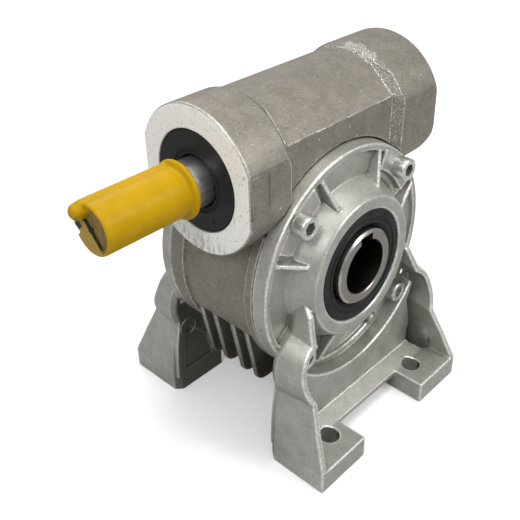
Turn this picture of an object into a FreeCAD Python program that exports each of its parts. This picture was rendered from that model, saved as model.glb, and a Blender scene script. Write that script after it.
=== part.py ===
import FreeCAD, Part
import math
import os
from types import SimpleNamespace

import Sketcher
from FreeCAD import Placement, Rotation, Vector

# Worm gear reducer on two foot castings, in millimetres.
# The origin is the centre of the hollow output shaft. X runs along the worm, with the input at -X.
# Y is the output axis and Z points up. Two equal foot covers stand at -Y and +Y.

# Driving dimensions: a drop is measured down from the output axis, a reach sideways from the origin

SIZES = {
    # gearing
    "centre_distance": 49.5,
    "module_axial": 2.75,
    "tooth_count": 28,
    "worm_pitch_radius": 11,
    "pressure_angle": 20,
    "tooth_play": 0.3,
    "root_clearance": 0.2,
    "thread_turns": 4,
    "wheel_width": 17,
    "rim_bore_radius": 31,
    # clearances
    "fit_gap": 0.05,
    "seat_gap": 0.2,
    # how far a form runs into the one that it joins, and a cut past what it takes away
    "join_overlap": 1,
    "cut_past": 5,
    # worm tube of the housing
    "input_reach": 56.6,
    "rear_reach": 64.5,
    "collar_radius": 31.2,
    "waist_radius": 29.8,
    "collar_front_reach": 35.5,
    "waist_front_reach": 33.5,
    "waist_rear_reach": 30,
    "collar_rear_reach": 38,
    "collar_bevel": 0.6,
    "side_flat_reach": 29,
    "waist_flat_reach": 26,
    "facet_foot_height": 14.7,
    "facet_top_reach": 13.6,
    "facet_top_height": 26.1,
    "facet_front": 33.5,
    "facet_rear": 33.5,
    "facet_runout": 6.2,
    "facet_runout_rise": 4,
    # gear drum of the housing
    "chamber_radius": 42.5,
    "drum_radius": 46.5,
    "cheek_radius": 52,
    "cheek_drop": 22,
    "cheek_half_width": 20,
    "flange_radius": 53,
    "parting_reach": 24.5,
    "flange_thickness": 4.5,
    "far_flange_thickness": 8,
    "cover_clearance": 0.6,
    "screw_boss_radius": 6,
    "screw_boss_length": 12.5,
    # cooling fins
    "fin_thickness": 2.4,
    "fin_inner_reach": 5.5,
    "fin_outer_reach": 14,
    "fin_drop": 53.7,
    "fin_half_length": 42.2,
    "fin_corner": 6.3,
    # worm shaft and what it carries
    "journal_radius": 8,
    "journal_length": 36,
    "journal_start": 64,
    "shaft_bevel": 0.6,
    "worm_seat_radius": 10,
    "worm_shoulder_radius": 12,
    "worm_relief_length": 5,
    "worm_bore_radius": 18,
    "worm_bearing_radius": 21,
    "worm_bearing_width": 12,
    "worm_seal_width": 7,
    "worm_seal_recess": 0.4,
    "retaining_ring_width": 1.75,
    "retaining_ring_bite": 1.2,
    "retaining_ring_depth": 2.4,
    "retaining_ring_half_gap": 32,
    "key_width": 5,
    "key_height": 5,
    "key_length": 28,
    "key_rise": 2,
    "key_inset": 4,
    "key_lean": 40,
    # transport cap
    "cap_gap": 0.3,
    "cap_radius": 10.25,
    "cap_lip_radius": 12.2,
    "cap_lip_width": 1.8,
    "cap_floor": 1.6,
    "cap_rim_length": 2.6,
    "cap_rim_thickness": 1.8,
    "cap_ridge_half_width": 4.2,
    "cap_ridge_top": 11.35,
    "cap_ridge_corner": 1.6,
    "cap_lobe_radius": 2.75,
    "cap_lobe_reach": 3.9,
    # output shaft and what it carries
    "output_bore_radius": 12.5,
    "output_shaft_radius": 17.5,
    "output_reach": 41,
    "output_end_bevel": 0.9,
    "output_shoulder_radius": 21,
    "keyway_width": 8,
    "keyway_depth": 3.3,
    "bearing_reach": 32,
    "output_bearing_width": 14,
    "output_bearing_radius": 31,
    "output_seal_radius": 26,
    "output_seal_width": 7,
    "output_seal_recess": 0.6,
    # side cover of each foot casting
    "spigot_length": 6.5,
    "rim_reach": 31.3,
    "rim_front_radius": 52.2,
    "rim_inner_radius": 49.2,
    "floor_reach": 29,
    "floor_radius": 48.6,
    "hub_foot_radius": 37.9,
    "hub_radius": 31.6,
    "hub_reach": 39.9,
    "hub_bevel": 0.7,
    "rib_thickness": 1.8,
    "rib_outer_height": 31.2,
    "rib_inner_height": 37.4,
    "screw_circle_radius": 46.5,
    "screw_seat_reach": 32,
    "boss_inner_radius": 41.2,
    "boss_half_angle": 17,
    # legs, web, ledge and pads of each foot casting
    "base_drop": 81.5,
    "pad_thickness": 10.9,
    "foot_half_length": 51.3,
    "foot_back": 30.5,
    "foot_front": 61.9,
    "foot_back_bevel": 3,
    "pad_length": 29.3,
    "foot_hole_radius": 4.4,
    "foot_hole_inset": 19.8,
    "foot_hole_y": 49,
    "wall_thickness": 2.7,
    "wall_root": 5,
    "kink_inset": 11.6,
    "kink_draft": 0.07,
    "kink_drop": 16.5,
    "kink_fall": 0.16,
    "bulge_inset": 1.1,
    "bulge_draft": 0.18,
    "bulge_drop": 31,
    "bulge_fall": 0.05,
    "waist_inset": 3.3,
    "waist_draft": 0.156,
    "waist_drop": 42.2,
    "waist_fall": 0.05,
    "flare_inset": 1,
    "flare_draft": 0.08,
    "flare_drop": 55,
    "flare_fall": 0.06,
    "edge_waist_reach": 51,
    "edge_waist_drop": 43.8,
    "edge_bulge_reach": 46.2,
    "edge_bulge_drop": 29,
    "edge_kink_reach": 44.8,
    "edge_kink_drop": 19.5,
    "edge_shoulder_reach": 40.2,
    "edge_shoulder_drop": 8,
    "edge_top_reach": 35,
    "edge_top_drop": 2,
    "cradle_bite": 0.1,
    "back_plate_thickness": 3,
    "web_front": 38.5,
    "web_tip_out": 1.8,
    "web_tip_drop": 2.6,
    "web_neck_in": 2.4,
    "web_neck_drop": 10.6,
    "web_hip_out": 1,
    "web_hip_drop": 24,
    "horn_inset": 9.15,
    "ledge_front": 46.5,
    "ledge_top_rise": 14.7,
    "ledge_bottom_rise": 8.3,
    "ledge_round": 2,
    "well_width": 6.5,
    "core_depth": 1.2,
    "core_margin": 6,
    "core_lean": 2.5,
    # cover screws
    "screw_radius": 3,
    "screw_hole_radius": 3.3,
    "screw_head_radius": 5,
    "screw_head_height": 6,
    "screw_seat_radius": 5.7,
    "screw_socket_radius": 2.9,
    "screw_socket_depth": 3,
    "screw_length": 16,
    "screw_tip_gap": 0.5,
}

doc = FreeCAD.newDocument("WormGearReducer")
sheet = doc.addObject("Spreadsheet::Sheet", "Sizes")
for row, (alias, number) in enumerate(SIZES.items(), start=1):
    sheet.set(f"A{row}", alias)
    sheet.set(f"B{row}", str(number))
    sheet.setAlias(f"B{row}", alias)
doc.recompute()


# A size keeps its value together with the expression that gives it in the sheet

class Size:
    def __init__(self, value, text):
        self.value = float(value)
        self.text = text

    def __add__(self, other):
        other = as_size(other)
        return Size(self.value + other.value, f"({self.text} + {other.text})")

    def __sub__(self, other):
        other = as_size(other)
        return Size(self.value - other.value, f"({self.text} - {other.text})")

    def __mul__(self, other):
        other = as_size(other)
        return Size(self.value * other.value, f"({self.text} * {other.text})")

    def __truediv__(self, other):
        other = as_size(other)
        return Size(self.value / other.value, f"({self.text} / {other.text})")

    def __neg__(self):
        return as_size(0) - self

    def __radd__(self, other):
        return as_size(other) + self

    def __rsub__(self, other):
        return as_size(other) - self

    def __rmul__(self, other):
        return as_size(other) * self


def as_size(number):
    return number if isinstance(number, Size) else Size(number, repr(float(number)))


def cosine(degrees):
    degrees = as_size(degrees)
    return Size(math.cos(math.radians(degrees.value)), f"cos({degrees.text})")


def sine(degrees):
    degrees = as_size(degrees)
    return Size(math.sin(math.radians(degrees.value)), f"sin({degrees.text})")


def root(size):
    return Size(math.sqrt(size.value), f"sqrt({size.text})")


def around(radius, degrees):
    """The point on a circle about the sketch origin."""
    return (radius * cosine(degrees), radius * sine(degrees))


d = SimpleNamespace(**{alias: Size(sheet.get(alias), f"Sizes.{alias}") for alias in SIZES})


# Sketch and feature helpers

def new_body(label):
    body = doc.addObject("PartDesign::Body", label)
    body.Label = label
    return body


def origin_part(body, role):
    return next(part for part in body.Origin.OriginFeatures if part.Role == role)


def new_sketch(body, name, role, offset=0, rise=0, turn=0, tilt=0):
    """A sketch on an origin plane, moved along the plane's normal and up in it, turned about it or tilted."""
    sketch = body.newObject("Sketcher::SketchObject", name)
    sketch.AttachmentSupport = (origin_part(body, role), [""])
    sketch.MapMode = "FlatFace"
    offset, rise, turn, tilt = as_size(offset), as_size(rise), as_size(turn), as_size(tilt)
    axis, angle = (Vector(1, 0, 0), tilt) if tilt.value else (Vector(0, 0, 1), turn)
    sketch.AttachmentOffset = Placement(Vector(0, rise.value, offset.value), Rotation(axis, angle.value))
    sketch.setExpression("AttachmentOffset.Base.y", rise.text)
    sketch.setExpression("AttachmentOffset.Base.z", offset.text)
    if angle.value:
        sketch.setExpression("AttachmentOffset.Rotation.Angle", angle.text)
    return sketch


def flat(point):
    return Vector(as_size(point[0]).value, as_size(point[1]).value, 0)


def place(sketch, geometry, end, point):
    """Ties one point of a sketch to its place from the sketch origin."""
    for kind, value in zip(("DistanceX", "DistanceY"), point):
        value = as_size(value)
        index = sketch.addConstraint(Sketcher.Constraint(kind, -1, 1, geometry, end, value.value))
        sketch.setExpression(f"Constraints[{index}]", value.text)


def outline(sketch, corners):
    """A closed outline. A corner is a point, or a pair of a point that an arc passes and its end point."""
    ends = [corner[1] if isinstance(corner[0], tuple) else corner for corner in corners]
    edges = []
    for index, corner in enumerate(corners):
        start, end = ends[index - 1], ends[index]
        if not isinstance(corner[0], tuple):
            edges.append((sketch.addGeometry(Part.LineSegment(flat(start), flat(end)), False), 1, 2))
            continue
        middle = corner[0]
        turn = (flat(middle) - flat(start)).cross(flat(end) - flat(middle)).z
        first, last = (start, end) if turn > 0 else (end, start)
        number = sketch.addGeometry(Part.Arc(flat(first), flat(middle), flat(last)), False)
        knot = sketch.addGeometry(Part.Point(flat(middle)), True)
        place(sketch, knot, 1, middle)
        sketch.addConstraint(Sketcher.Constraint("PointOnObject", knot, 1, number))
        edges.append((number, 1, 2) if turn > 0 else (number, 2, 1))
    for index, (number, _, last) in enumerate(edges):
        following, start, _ = edges[(index + 1) % len(edges)]
        sketch.addConstraint(Sketcher.Constraint("Coincident", number, last, following, start))
        place(sketch, number, last, ends[index])


def circle(sketch, centre, radius):
    number = sketch.addGeometry(Part.Circle(flat(centre), Vector(0, 0, 1), radius.value), False)
    place(sketch, number, 3, centre)
    index = sketch.addConstraint(Sketcher.Constraint("Radius", number, radius.value))
    sketch.setExpression(f"Constraints[{index}]", radius.text)


def feature(body, kind, name, sketch, **settings):
    result = body.newObject(f"PartDesign::{kind}", name)
    result.Profile = sketch
    for key, value in settings.items():
        if isinstance(value, Size):
            setattr(result, key, value.value)
            result.setExpression(key, value.text)
        else:
            setattr(result, key, value)
    return result


def pad(body, name, sketch, length, **settings):
    return feature(body, "Pad", name, sketch, Length=as_size(length), **settings)


def pocket(body, name, sketch, length, **settings):
    return feature(body, "Pocket", name, sketch, Length=as_size(length), **settings)


def revolve(body, name, sketch, kind="Revolution"):
    return feature(body, kind, name, sketch, ReferenceAxis=(sketch, ["H_Axis"]), Angle=360.0)


def mirrored(body, name, original, role):
    result = body.newObject("PartDesign::Mirrored", name)
    result.Originals = [original]
    result.MirrorPlane = (origin_part(body, role), [""])
    body.Tip = result
    return result


def polar(body, name, originals, role, count):
    result = body.newObject("PartDesign::PolarPattern", name)
    result.Originals = originals
    result.Axis = (origin_part(body, role), [""])
    result.Angle = 360.0
    result.Occurrences = int(as_size(count).value)
    result.setExpression("Occurrences", as_size(count).text)
    body.Tip = result
    return result


def turned(label, about, corners):
    """A turned piece about the output axis or the worm axis. Corners are (place along it, radius)."""
    role, rise = {"output": ("YZ_Plane", 0), "worm": ("XZ_Plane", d.centre_distance)}[about]
    body = new_body(label)
    profile = new_sketch(body, f"{label}_profile", role, rise=rise)
    outline(profile, corners)
    revolve(body, f"{label}_turned", profile)
    return body


def ring(label, about, start, end, inner, outer):
    return turned(label, about, [(start, inner), (start, outer), (end, outer), (end, inner)])


# Places worked out from the driving dimensions

pitch = d.module_axial * math.pi
screw_offset = d.screw_circle_radius * cosine(45)
worm_seal_back = -d.input_reach + d.worm_seal_recess + d.worm_seal_width
front_ring_start = worm_seal_back + d.seat_gap
front_bearing_start = front_ring_start + d.retaining_ring_width + d.fit_gap
front_shoulder = front_bearing_start + d.worm_bearing_width
rear_cap_start = d.rear_reach - d.worm_seal_recess - d.worm_seal_width
rear_ring_start = rear_cap_start - d.seat_gap - d.retaining_ring_width
rear_bearing_end = rear_ring_start - d.fit_gap
rear_shoulder = rear_bearing_end - d.worm_bearing_width
output_seal_face = d.hub_reach - d.output_seal_recess
output_shoulder = d.bearing_reach - d.output_bearing_width
screw_tip = d.screw_seat_reach - d.screw_length
back_plate_front = d.foot_back + d.back_plate_thickness
cradle_radius = d.rim_front_radius - d.cradle_bite
pad_top_drop = d.base_drop - d.pad_thickness
pad_inner_reach = d.foot_half_length - d.pad_length
foot_hole_reach = d.foot_half_length - d.foot_hole_inset
ledge_top_drop = d.base_drop - d.ledge_top_rise
ledge_bottom_drop = d.base_drop - d.ledge_bottom_rise
journal_end = -(d.journal_start + d.journal_length)
key_front = journal_end + d.key_inset
key_bottom = d.journal_radius + d.key_rise - d.key_height


# Housing: worm tube, gear drum, flanges and fins

def housing():
    body = new_body("housing")
    axis = d.centre_distance

    tube = new_sketch(body, "tube_profile", "XZ_Plane", rise=axis)
    bevel = d.collar_bevel
    outline(tube, [
        (-d.input_reach, 0),
        (-d.input_reach, d.collar_radius - bevel),
        (-d.input_reach + bevel, d.collar_radius),
        (-d.collar_front_reach, d.collar_radius),
        (-d.waist_front_reach, d.waist_radius),
        (d.waist_rear_reach, d.waist_radius),
        (d.collar_rear_reach, d.collar_radius),
        (d.rear_reach - 2 * bevel, d.collar_radius),
        (d.rear_reach, d.collar_radius - 2 * bevel),
        (d.rear_reach, 0),
    ])
    revolve(body, "tube", tube)

    beyond = d.collar_radius + d.cut_past
    flats = new_sketch(body, "side_flat_outline", "YZ_Plane", rise=axis)
    for side in (-1, 1):
        outline(flats, [
            (side * d.side_flat_reach, -beyond),
            (side * beyond, -beyond),
            (side * beyond, beyond),
            (side * d.side_flat_reach, beyond),
        ])
    pocket(body, "side_flats", flats, 4 * d.rear_reach, Midplane=True)

    def facet_section(name, along, grow):
        """What a side facet and the sloping facet above it take away, on the -Y side of the tube."""
        section = new_sketch(body, name, "YZ_Plane", along, axis)
        across = d.waist_flat_reach - d.facet_top_reach
        up = d.facet_top_height - d.facet_foot_height
        outline(section, [
            (-d.waist_flat_reach - grow, -beyond),
            (-d.waist_flat_reach - grow, d.facet_foot_height + grow / 2),
            (-d.facet_top_reach - grow + across / 2, d.facet_top_height + grow / 2 + up / 2),
            (-2 * beyond, d.facet_top_height + grow / 2 + up / 2),
            (-2 * beyond, -beyond),
        ])
        return section

    first = facet_section("facet_front_section", -d.facet_front, as_size(0))
    second = facet_section("facet_rear_section", d.facet_rear, as_size(0))
    third = facet_section("facet_runout_section", d.facet_rear + d.facet_runout, d.facet_runout_rise)
    facets = feature(body, "SubtractiveLoft", "facets", first, Sections=[second, third], Ruled=True)
    mirrored(body, "facets_both_sides", facets, "XZ_Plane")

    drum = new_sketch(body, "drum_outline", "XZ_Plane")
    circle(drum, (0, 0), d.drum_radius)
    pad(body, "drum", drum, 2 * d.parting_reach, Midplane=True)

    cheek_reach = root(d.cheek_radius * d.cheek_radius - d.cheek_drop * d.cheek_drop)
    cheek = new_sketch(body, "cheek_outline", "XZ_Plane")
    outline(cheek, [
        (-cheek_reach, -d.cheek_drop),
        ((0, d.cheek_radius), (cheek_reach, -d.cheek_drop)),
    ])
    pad(body, "cheeks", cheek, 2 * d.cheek_half_width, Midplane=True)

    for name, side, thickness in (("front_flange", 1, d.flange_thickness),
                                  ("rear_flange", -1, d.far_flange_thickness)):
        flange = new_sketch(body, f"{name}_outline", "XZ_Plane", side * d.parting_reach)
        circle(flange, (0, 0), d.flange_radius)
        pad(body, name, flange, thickness, Reversed=side > 0)

    fin_side, fin_foot = d.fin_half_length - d.fin_corner, d.fin_drop - d.fin_corner
    bend = d.fin_corner * cosine(45)
    for number, reach in enumerate((-d.fin_outer_reach, -d.fin_inner_reach,
                                    d.fin_inner_reach, d.fin_outer_reach), start=1):
        fin = new_sketch(body, f"fin_{number}_outline", "XZ_Plane", reach)
        outline(fin, [
            (-cheek_reach, -d.cheek_drop),
            (cheek_reach, -d.cheek_drop),
            (d.fin_half_length, -fin_foot),
            ((fin_side + bend, -(fin_foot + bend)), (fin_side, -d.fin_drop)),
            (-fin_side, -d.fin_drop),
            ((-(fin_side + bend), -(fin_foot + bend)), (-d.fin_half_length, -fin_foot)),
        ])
        pad(body, f"fin_{number}", fin, d.fin_thickness, Midplane=True)

    for name, side in (("front", 1), ("rear", -1)):
        parting = side * d.parting_reach
        bosses = new_sketch(body, f"{name}_boss_circles", "XZ_Plane", parting)
        for across, up in ((-1, -1), (-1, 1), (1, -1), (1, 1)):
            circle(bosses, (across * screw_offset, up * screw_offset), d.screw_boss_radius)
        pad(body, f"{name}_screw_bosses", bosses, d.screw_boss_length, Reversed=side > 0)

    for name, side in (("front", 1), ("rear", -1)):
        seat = new_sketch(body, f"{name}_cover_seat_circle", "XZ_Plane", side * d.parting_reach)
        circle(seat, (0, 0), d.flange_radius + d.cover_clearance)
        pocket(body, f"{name}_cover_seat", seat, d.collar_radius, Reversed=side > 0)

    chamber = new_sketch(body, "chamber_circle", "XZ_Plane")
    circle(chamber, (0, 0), d.chamber_radius)
    pocket(body, "chamber", chamber, 4 * d.parting_reach, Midplane=True)

    bore = new_sketch(body, "worm_bore_circle", "YZ_Plane", rise=axis)
    circle(bore, (0, 0), d.worm_bore_radius)
    pocket(body, "worm_bore", bore, 4 * d.rear_reach, Midplane=True)

    seat_radius = d.worm_bearing_radius + d.fit_gap
    for name, start, backwards in (("front", front_shoulder, False), ("rear", rear_shoulder, True)):
        seat = new_sketch(body, f"{name}_seat_circle", "YZ_Plane", start, axis)
        circle(seat, (0, 0), seat_radius)
        pocket(body, f"{name}_seat", seat, 2 * d.rear_reach, Reversed=backwards)

    groove_width = d.retaining_ring_width + 2 * d.fit_gap
    for name, start in (("front_groove", front_ring_start - d.fit_gap),
                        ("rear_groove", rear_ring_start - d.fit_gap)):
        groove = new_sketch(body, f"{name}_circle", "YZ_Plane", start, axis)
        circle(groove, (0, 0), seat_radius + d.retaining_ring_bite)
        pocket(body, name, groove, groove_width, Reversed=True)

    for name, side in (("front", 1), ("rear", -1)):
        holes = new_sketch(body, f"{name}_screw_hole_circles", "XZ_Plane", side * d.parting_reach)
        for across, up in ((-1, -1), (-1, 1), (1, -1), (1, 1)):
            circle(holes, (across * screw_offset, up * screw_offset), d.screw_radius + d.fit_gap)
        depth = d.parting_reach - screw_tip + d.screw_tip_gap
        pocket(body, f"{name}_screw_holes", holes, depth, Reversed=side < 0)
    return body


# Foot casting: side cover with ribs and hub, two channel legs, web, ledge and pads in one piece

RIB_ANGLES = (22.5, 67.5, 112.5, 157.5, 247.5, 292.5)


def wall_point(name, reach, inset):
    """A corner of the leg wall's section at a distance from the middle plane, on the left leg."""
    behind = reach - d.foot_back
    across = d.foot_half_length - inset
    across = across - getattr(d, f"{name}_inset") - getattr(d, f"{name}_draft") * behind
    return (-across, -(getattr(d, f"{name}_drop") + getattr(d, f"{name}_fall") * behind))


def foot_cover_front():
    body = new_body("foot_cover_front")

    disc = new_sketch(body, "floor_circle", "XZ_Plane", d.parting_reach)
    circle(disc, (0, 0), d.floor_radius)
    pad(body, "cover_floor", disc, d.floor_reach - d.parting_reach)

    half = d.rib_thickness / 2
    for number, angle in enumerate(RIB_ANGLES, start=1):
        strip = new_sketch(body, f"rib_{number}_outline", "XZ_Plane", d.parting_reach, turn=angle)
        outline(strip, [
            (0, -half),
            (d.rim_inner_radius + d.join_overlap, -half),
            (d.rim_inner_radius + d.join_overlap, half),
            (0, half),
        ])
        pad(body, f"rib_{number}", strip, d.hub_reach - d.parting_reach)

    slope = new_sketch(body, "rib_slope_profile", "YZ_Plane")
    outline(slope, [
        (-d.rib_outer_height, d.rim_front_radius),
        (-d.rib_inner_height, d.hub_radius - d.join_overlap),
        (-(d.hub_reach + d.cut_past), d.hub_radius - d.join_overlap),
        (-(d.hub_reach + d.cut_past), d.rim_front_radius),
    ])
    revolve(body, "rib_slope", slope, "Groove")

    def wall_section(name, reach, inset):
        """The leg wall from the hub over the bulge and the waist down to the pad, on the left leg."""
        section = new_sketch(body, name, "XZ_Plane", reach)
        kink, bulge, waist, flare = (wall_point(corner, reach, inset)
                                     for corner in ("kink", "bulge", "waist", "flare"))
        thick = d.wall_thickness
        foot = -(d.foot_half_length - inset)
        hub_end = -(d.hub_foot_radius - d.wall_root)
        low = -(d.base_drop - d.join_overlap)
        outline(section, [
            (hub_end, 0),
            kink,
            (bulge, waist),
            flare,
            (foot, -pad_top_drop),
            (foot, low),
            (foot + thick, low),
            (foot + thick, -pad_top_drop),
            (flare[0] + thick, flare[1]),
            (waist[0] + thick, waist[1]),
            ((bulge[0] + thick, bulge[1]), (kink[0] + thick, kink[1] - thick / 2)),
            (hub_end + thick, 0),
        ])
        return section

    back = wall_section("wall_back_section", d.foot_back - d.join_overlap, d.foot_back_bevel)
    middle = wall_section("wall_middle_section", d.foot_back + d.foot_back_bevel, as_size(0))
    front = wall_section("wall_front_section", d.foot_front, as_size(0))
    wall = feature(body, "AdditiveLoft", "leg_wall", back, Sections=[middle, front], Ruled=True)
    mirrored(body, "leg_walls", wall, "YZ_Plane")

    edge = new_sketch(body, "wall_edge_profile", "YZ_Plane")
    outline(edge, [
        (-d.foot_front, -pad_top_drop),
        (-d.edge_waist_reach, -d.edge_waist_drop),
        (-d.edge_bulge_reach, -d.edge_bulge_drop),
        (-d.edge_kink_reach, -d.edge_kink_drop),
        (-d.edge_shoulder_reach, -d.edge_shoulder_drop),
        (-d.edge_top_reach, -d.edge_top_drop),
        (-d.edge_top_reach, d.edge_shoulder_drop),
        (-(d.foot_front + d.cut_past), d.edge_shoulder_drop),
        (-(d.foot_front + d.cut_past), -pad_top_drop),
    ])
    pocket(body, "wall_edge", edge, 4 * d.foot_half_length, Midplane=True)

    relief = new_sketch(body, "back_relief_profile", "YZ_Plane")
    relief_back = -(d.parting_reach - d.join_overlap)
    outline(relief, [
        (relief_back, d.flange_radius),
        (-d.foot_back, d.flange_radius),
        (-d.foot_back, d.base_drop + d.foot_half_length),
        (relief_back, d.base_drop + d.foot_half_length),
    ])
    revolve(body, "back_relief", relief, "Groove")

    # side cover: spigot, flange, rim, recessed floor and hub cone
    cover = new_sketch(body, "cover_profile", "YZ_Plane")
    spigot_radius = d.chamber_radius - d.fit_gap
    outline(cover, [
        (-(d.parting_reach - d.spigot_length), 0),
        (-(d.parting_reach - d.spigot_length), spigot_radius),
        (-d.parting_reach, spigot_radius),
        (-d.parting_reach, d.flange_radius),
        (-d.rim_reach, d.rim_front_radius),
        (-d.rim_reach, d.rim_inner_radius),
        (-d.floor_reach, d.floor_radius),
        (-d.floor_reach, d.hub_foot_radius),
        (-(d.hub_reach - d.hub_bevel), d.hub_radius + d.hub_bevel),
        (-d.hub_reach, d.hub_radius),
        (-d.hub_reach, 0),
    ])
    revolve(body, "cover", cover)

    outer = d.rim_inner_radius + d.join_overlap
    low_side, high_side = 45 - d.boss_half_angle, 45 + d.boss_half_angle
    boss = new_sketch(body, "screw_boss_outline", "XZ_Plane", d.parting_reach)
    outline(boss, [
        (around(d.boss_inner_radius, 45), around(d.boss_inner_radius, low_side)),
        around(outer, low_side),
        (around(outer, 45), around(outer, high_side)),
        around(d.boss_inner_radius, high_side),
    ])
    boss_pad = pad(body, "screw_boss", boss, d.screw_seat_reach - d.parting_reach)
    polar(body, "screw_bosses", [boss_pad], "Y_Axis", 4)

    # back plate that joins the legs under the rim, and the web in front of it
    low = around(cradle_radius, 270)
    end = d.foot_half_length - d.horn_inset
    height = -root(cradle_radius * cradle_radius - end * end)
    left, right = (-end, height), (end, height)
    waist = wall_point("waist", d.foot_back, d.join_overlap)
    flare = wall_point("flare", d.foot_back, d.join_overlap)
    foot = d.foot_half_length - d.join_overlap
    plate = new_sketch(body, "back_plate_outline", "XZ_Plane", d.foot_back)
    outline(plate, [
        left,
        (low, right),
        (-waist[0], right[1]),
        (-waist[0], waist[1]),
        (-flare[0], flare[1]),
        (foot, -ledge_bottom_drop),
        (-foot, -ledge_bottom_drop),
        flare,
        waist,
        (waist[0], left[1]),
    ])
    pad(body, "back_plate", plate, d.back_plate_thickness)

    web = new_sketch(body, "web_outline", "XZ_Plane", back_plate_front)
    tip = (end + d.web_tip_out, height - d.web_tip_drop)
    neck = (end - d.web_neck_in, height - d.web_neck_drop)
    hip = (end + d.web_hip_out, height - d.web_hip_drop)
    outline(web, [
        left,
        (low, right),
        tip,
        neck,
        hip,
        (hip[0], -ledge_top_drop),
        (-hip[0], -ledge_top_drop),
        (-hip[0], hip[1]),
        (-neck[0], neck[1]),
        (-tip[0], tip[1]),
    ])
    pad(body, "web", web, d.web_front - back_plate_front)

    ledge = new_sketch(body, "ledge_section", "YZ_Plane")
    outline(ledge, [
        (-(d.foot_back + d.join_overlap), -ledge_bottom_drop),
        (-(d.foot_back + d.join_overlap), -ledge_top_drop),
        (-d.web_front, -ledge_top_drop),
        (-(d.web_front + d.ledge_round), -(ledge_top_drop + d.ledge_round / 2)),
        (-d.ledge_front, -pad_top_drop),
        (-d.ledge_front, -ledge_bottom_drop),
    ])
    pad(body, "ledge", ledge, 2 * (d.foot_half_length - d.wall_thickness), Midplane=True)

    pads = new_sketch(body, "pad_outlines", "XY_Plane", -d.base_drop)
    bevel = d.foot_back_bevel
    for side in (-1, 1):
        outline(pads, [
            (side * (d.foot_half_length - bevel), -d.foot_back),
            (side * d.foot_half_length, -d.foot_back - bevel),
            (side * d.foot_half_length, -d.foot_front),
            (side * pad_inner_reach, -d.foot_front),
            (side * pad_inner_reach, -d.foot_back),
        ])
    pad(body, "pads", pads, d.pad_thickness)

    foot_holes = new_sketch(body, "foot_hole_circles", "XY_Plane", -d.base_drop)
    wells = new_sketch(body, "well_outlines", "XY_Plane", -d.base_drop)
    inner = d.foot_half_length - d.wall_thickness
    for side in (-1, 1):
        circle(foot_holes, (side * foot_hole_reach, -d.foot_hole_y), d.foot_hole_radius)
        outline(wells, [
            (side * (inner - d.well_width), -back_plate_front),
            (side * inner, -back_plate_front),
            (side * inner, -(d.ledge_front + d.ledge_round)),
            (side * (inner - d.well_width / 2), -d.ledge_front),
            (side * (inner - d.well_width), -(d.web_front + d.ledge_round)),
        ])
    pocket(body, "foot_holes", foot_holes, 2 * d.pad_thickness, Reversed=True)
    pocket(body, "wells", wells, 2 * d.pad_thickness, Reversed=True)

    # bores for the bearing and the seal
    bores = new_sketch(body, "bore_profile", "YZ_Plane")
    seat = d.output_bearing_radius + d.fit_gap
    mouth = d.output_seal_radius + d.fit_gap
    behind = d.parting_reach - d.spigot_length - d.join_overlap
    outline(bores, [
        (-behind, 0),
        (-behind, seat),
        (-(d.bearing_reach + d.fit_gap), seat),
        (-(d.bearing_reach + d.fit_gap), mouth),
        (-(d.hub_reach - d.hub_bevel), mouth),
        (-d.hub_reach, mouth + d.hub_bevel),
        (-(d.hub_reach + d.cut_past), mouth + d.hub_bevel),
        (-(d.hub_reach + d.cut_past), 0),
    ])
    revolve(body, "bores", bores, "Groove")

    screw_holes = new_sketch(body, "screw_hole_circles", "XZ_Plane", d.screw_seat_reach)
    seats = new_sketch(body, "screw_seat_circles", "XZ_Plane", d.screw_seat_reach)
    for across, up in ((-1, -1), (-1, 1), (1, -1), (1, 1)):
        circle(screw_holes, (across * screw_offset, up * screw_offset), d.screw_hole_radius)
        circle(seats, (across * screw_offset, up * screw_offset), d.screw_seat_radius)
    pocket(body, "screw_holes", screw_holes, d.screw_seat_reach)
    pocket(body, "screw_seats", seats, d.foot_front, Reversed=True)

    # shallow cored field in the back of each leg
    cores = new_sketch(body, "core_outlines", "XZ_Plane", d.foot_back)
    inner_side = pad_inner_reach + d.core_margin
    outer_side = d.foot_half_length - d.core_margin
    for side in (-1, 1):
        outline(cores, [
            (side * inner_side, -pad_top_drop),
            (side * outer_side, -pad_top_drop),
            (side * (outer_side - d.core_lean), -(d.waist_drop + d.core_lean)),
            (side * (inner_side + d.core_lean), -(d.flare_drop + d.core_lean)),
        ])
    pocket(body, "cores", cores, d.core_depth, Reversed=True)
    return body


# Rear foot casting: the front one mirrored in the middle plane

def foot_cover_rear(front):
    cover = doc.addObject("Part::Mirroring", "foot_cover_rear")
    cover.Label = "foot_cover_rear"
    cover.Source = front
    cover.Normal = Vector(0, 1, 0)
    return cover


# Cover screws: four socket-head screws, drawn with their heads at -Y

def cover_screws_front():
    body = new_body("cover_screws_front")
    places = [(across * screw_offset, up * screw_offset) for across, up in ((-1, -1), (-1, 1), (1, -1), (1, 1))]
    heads = new_sketch(body, "head_circles", "XZ_Plane", d.screw_seat_reach)
    shanks = new_sketch(body, "shank_circles", "XZ_Plane", d.screw_seat_reach)
    sockets = new_sketch(body, "socket_outlines", "XZ_Plane", d.screw_seat_reach + d.screw_head_height)
    for centre in places:
        circle(heads, centre, d.screw_head_radius)
        circle(shanks, centre, d.screw_radius)
        corners = [around(d.screw_socket_radius, angle) for angle in range(0, 360, 60)]
        outline(sockets, [(centre[0] + across, centre[1] + up) for across, up in corners])
    pad(body, "heads", heads, d.screw_head_height)
    pad(body, "shanks", shanks, d.screw_length, Reversed=True)
    pocket(body, "sockets", sockets, d.screw_socket_depth)
    return body


def cover_screws_rear(front):
    screws = doc.addObject("Part::Mirroring", "cover_screws_rear")
    screws.Label = "cover_screws_rear"
    screws.Source = front
    screws.Normal = Vector(0, 1, 0)
    return screws


# Bearings, shaft seals, retaining rings and the closing cap

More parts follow.
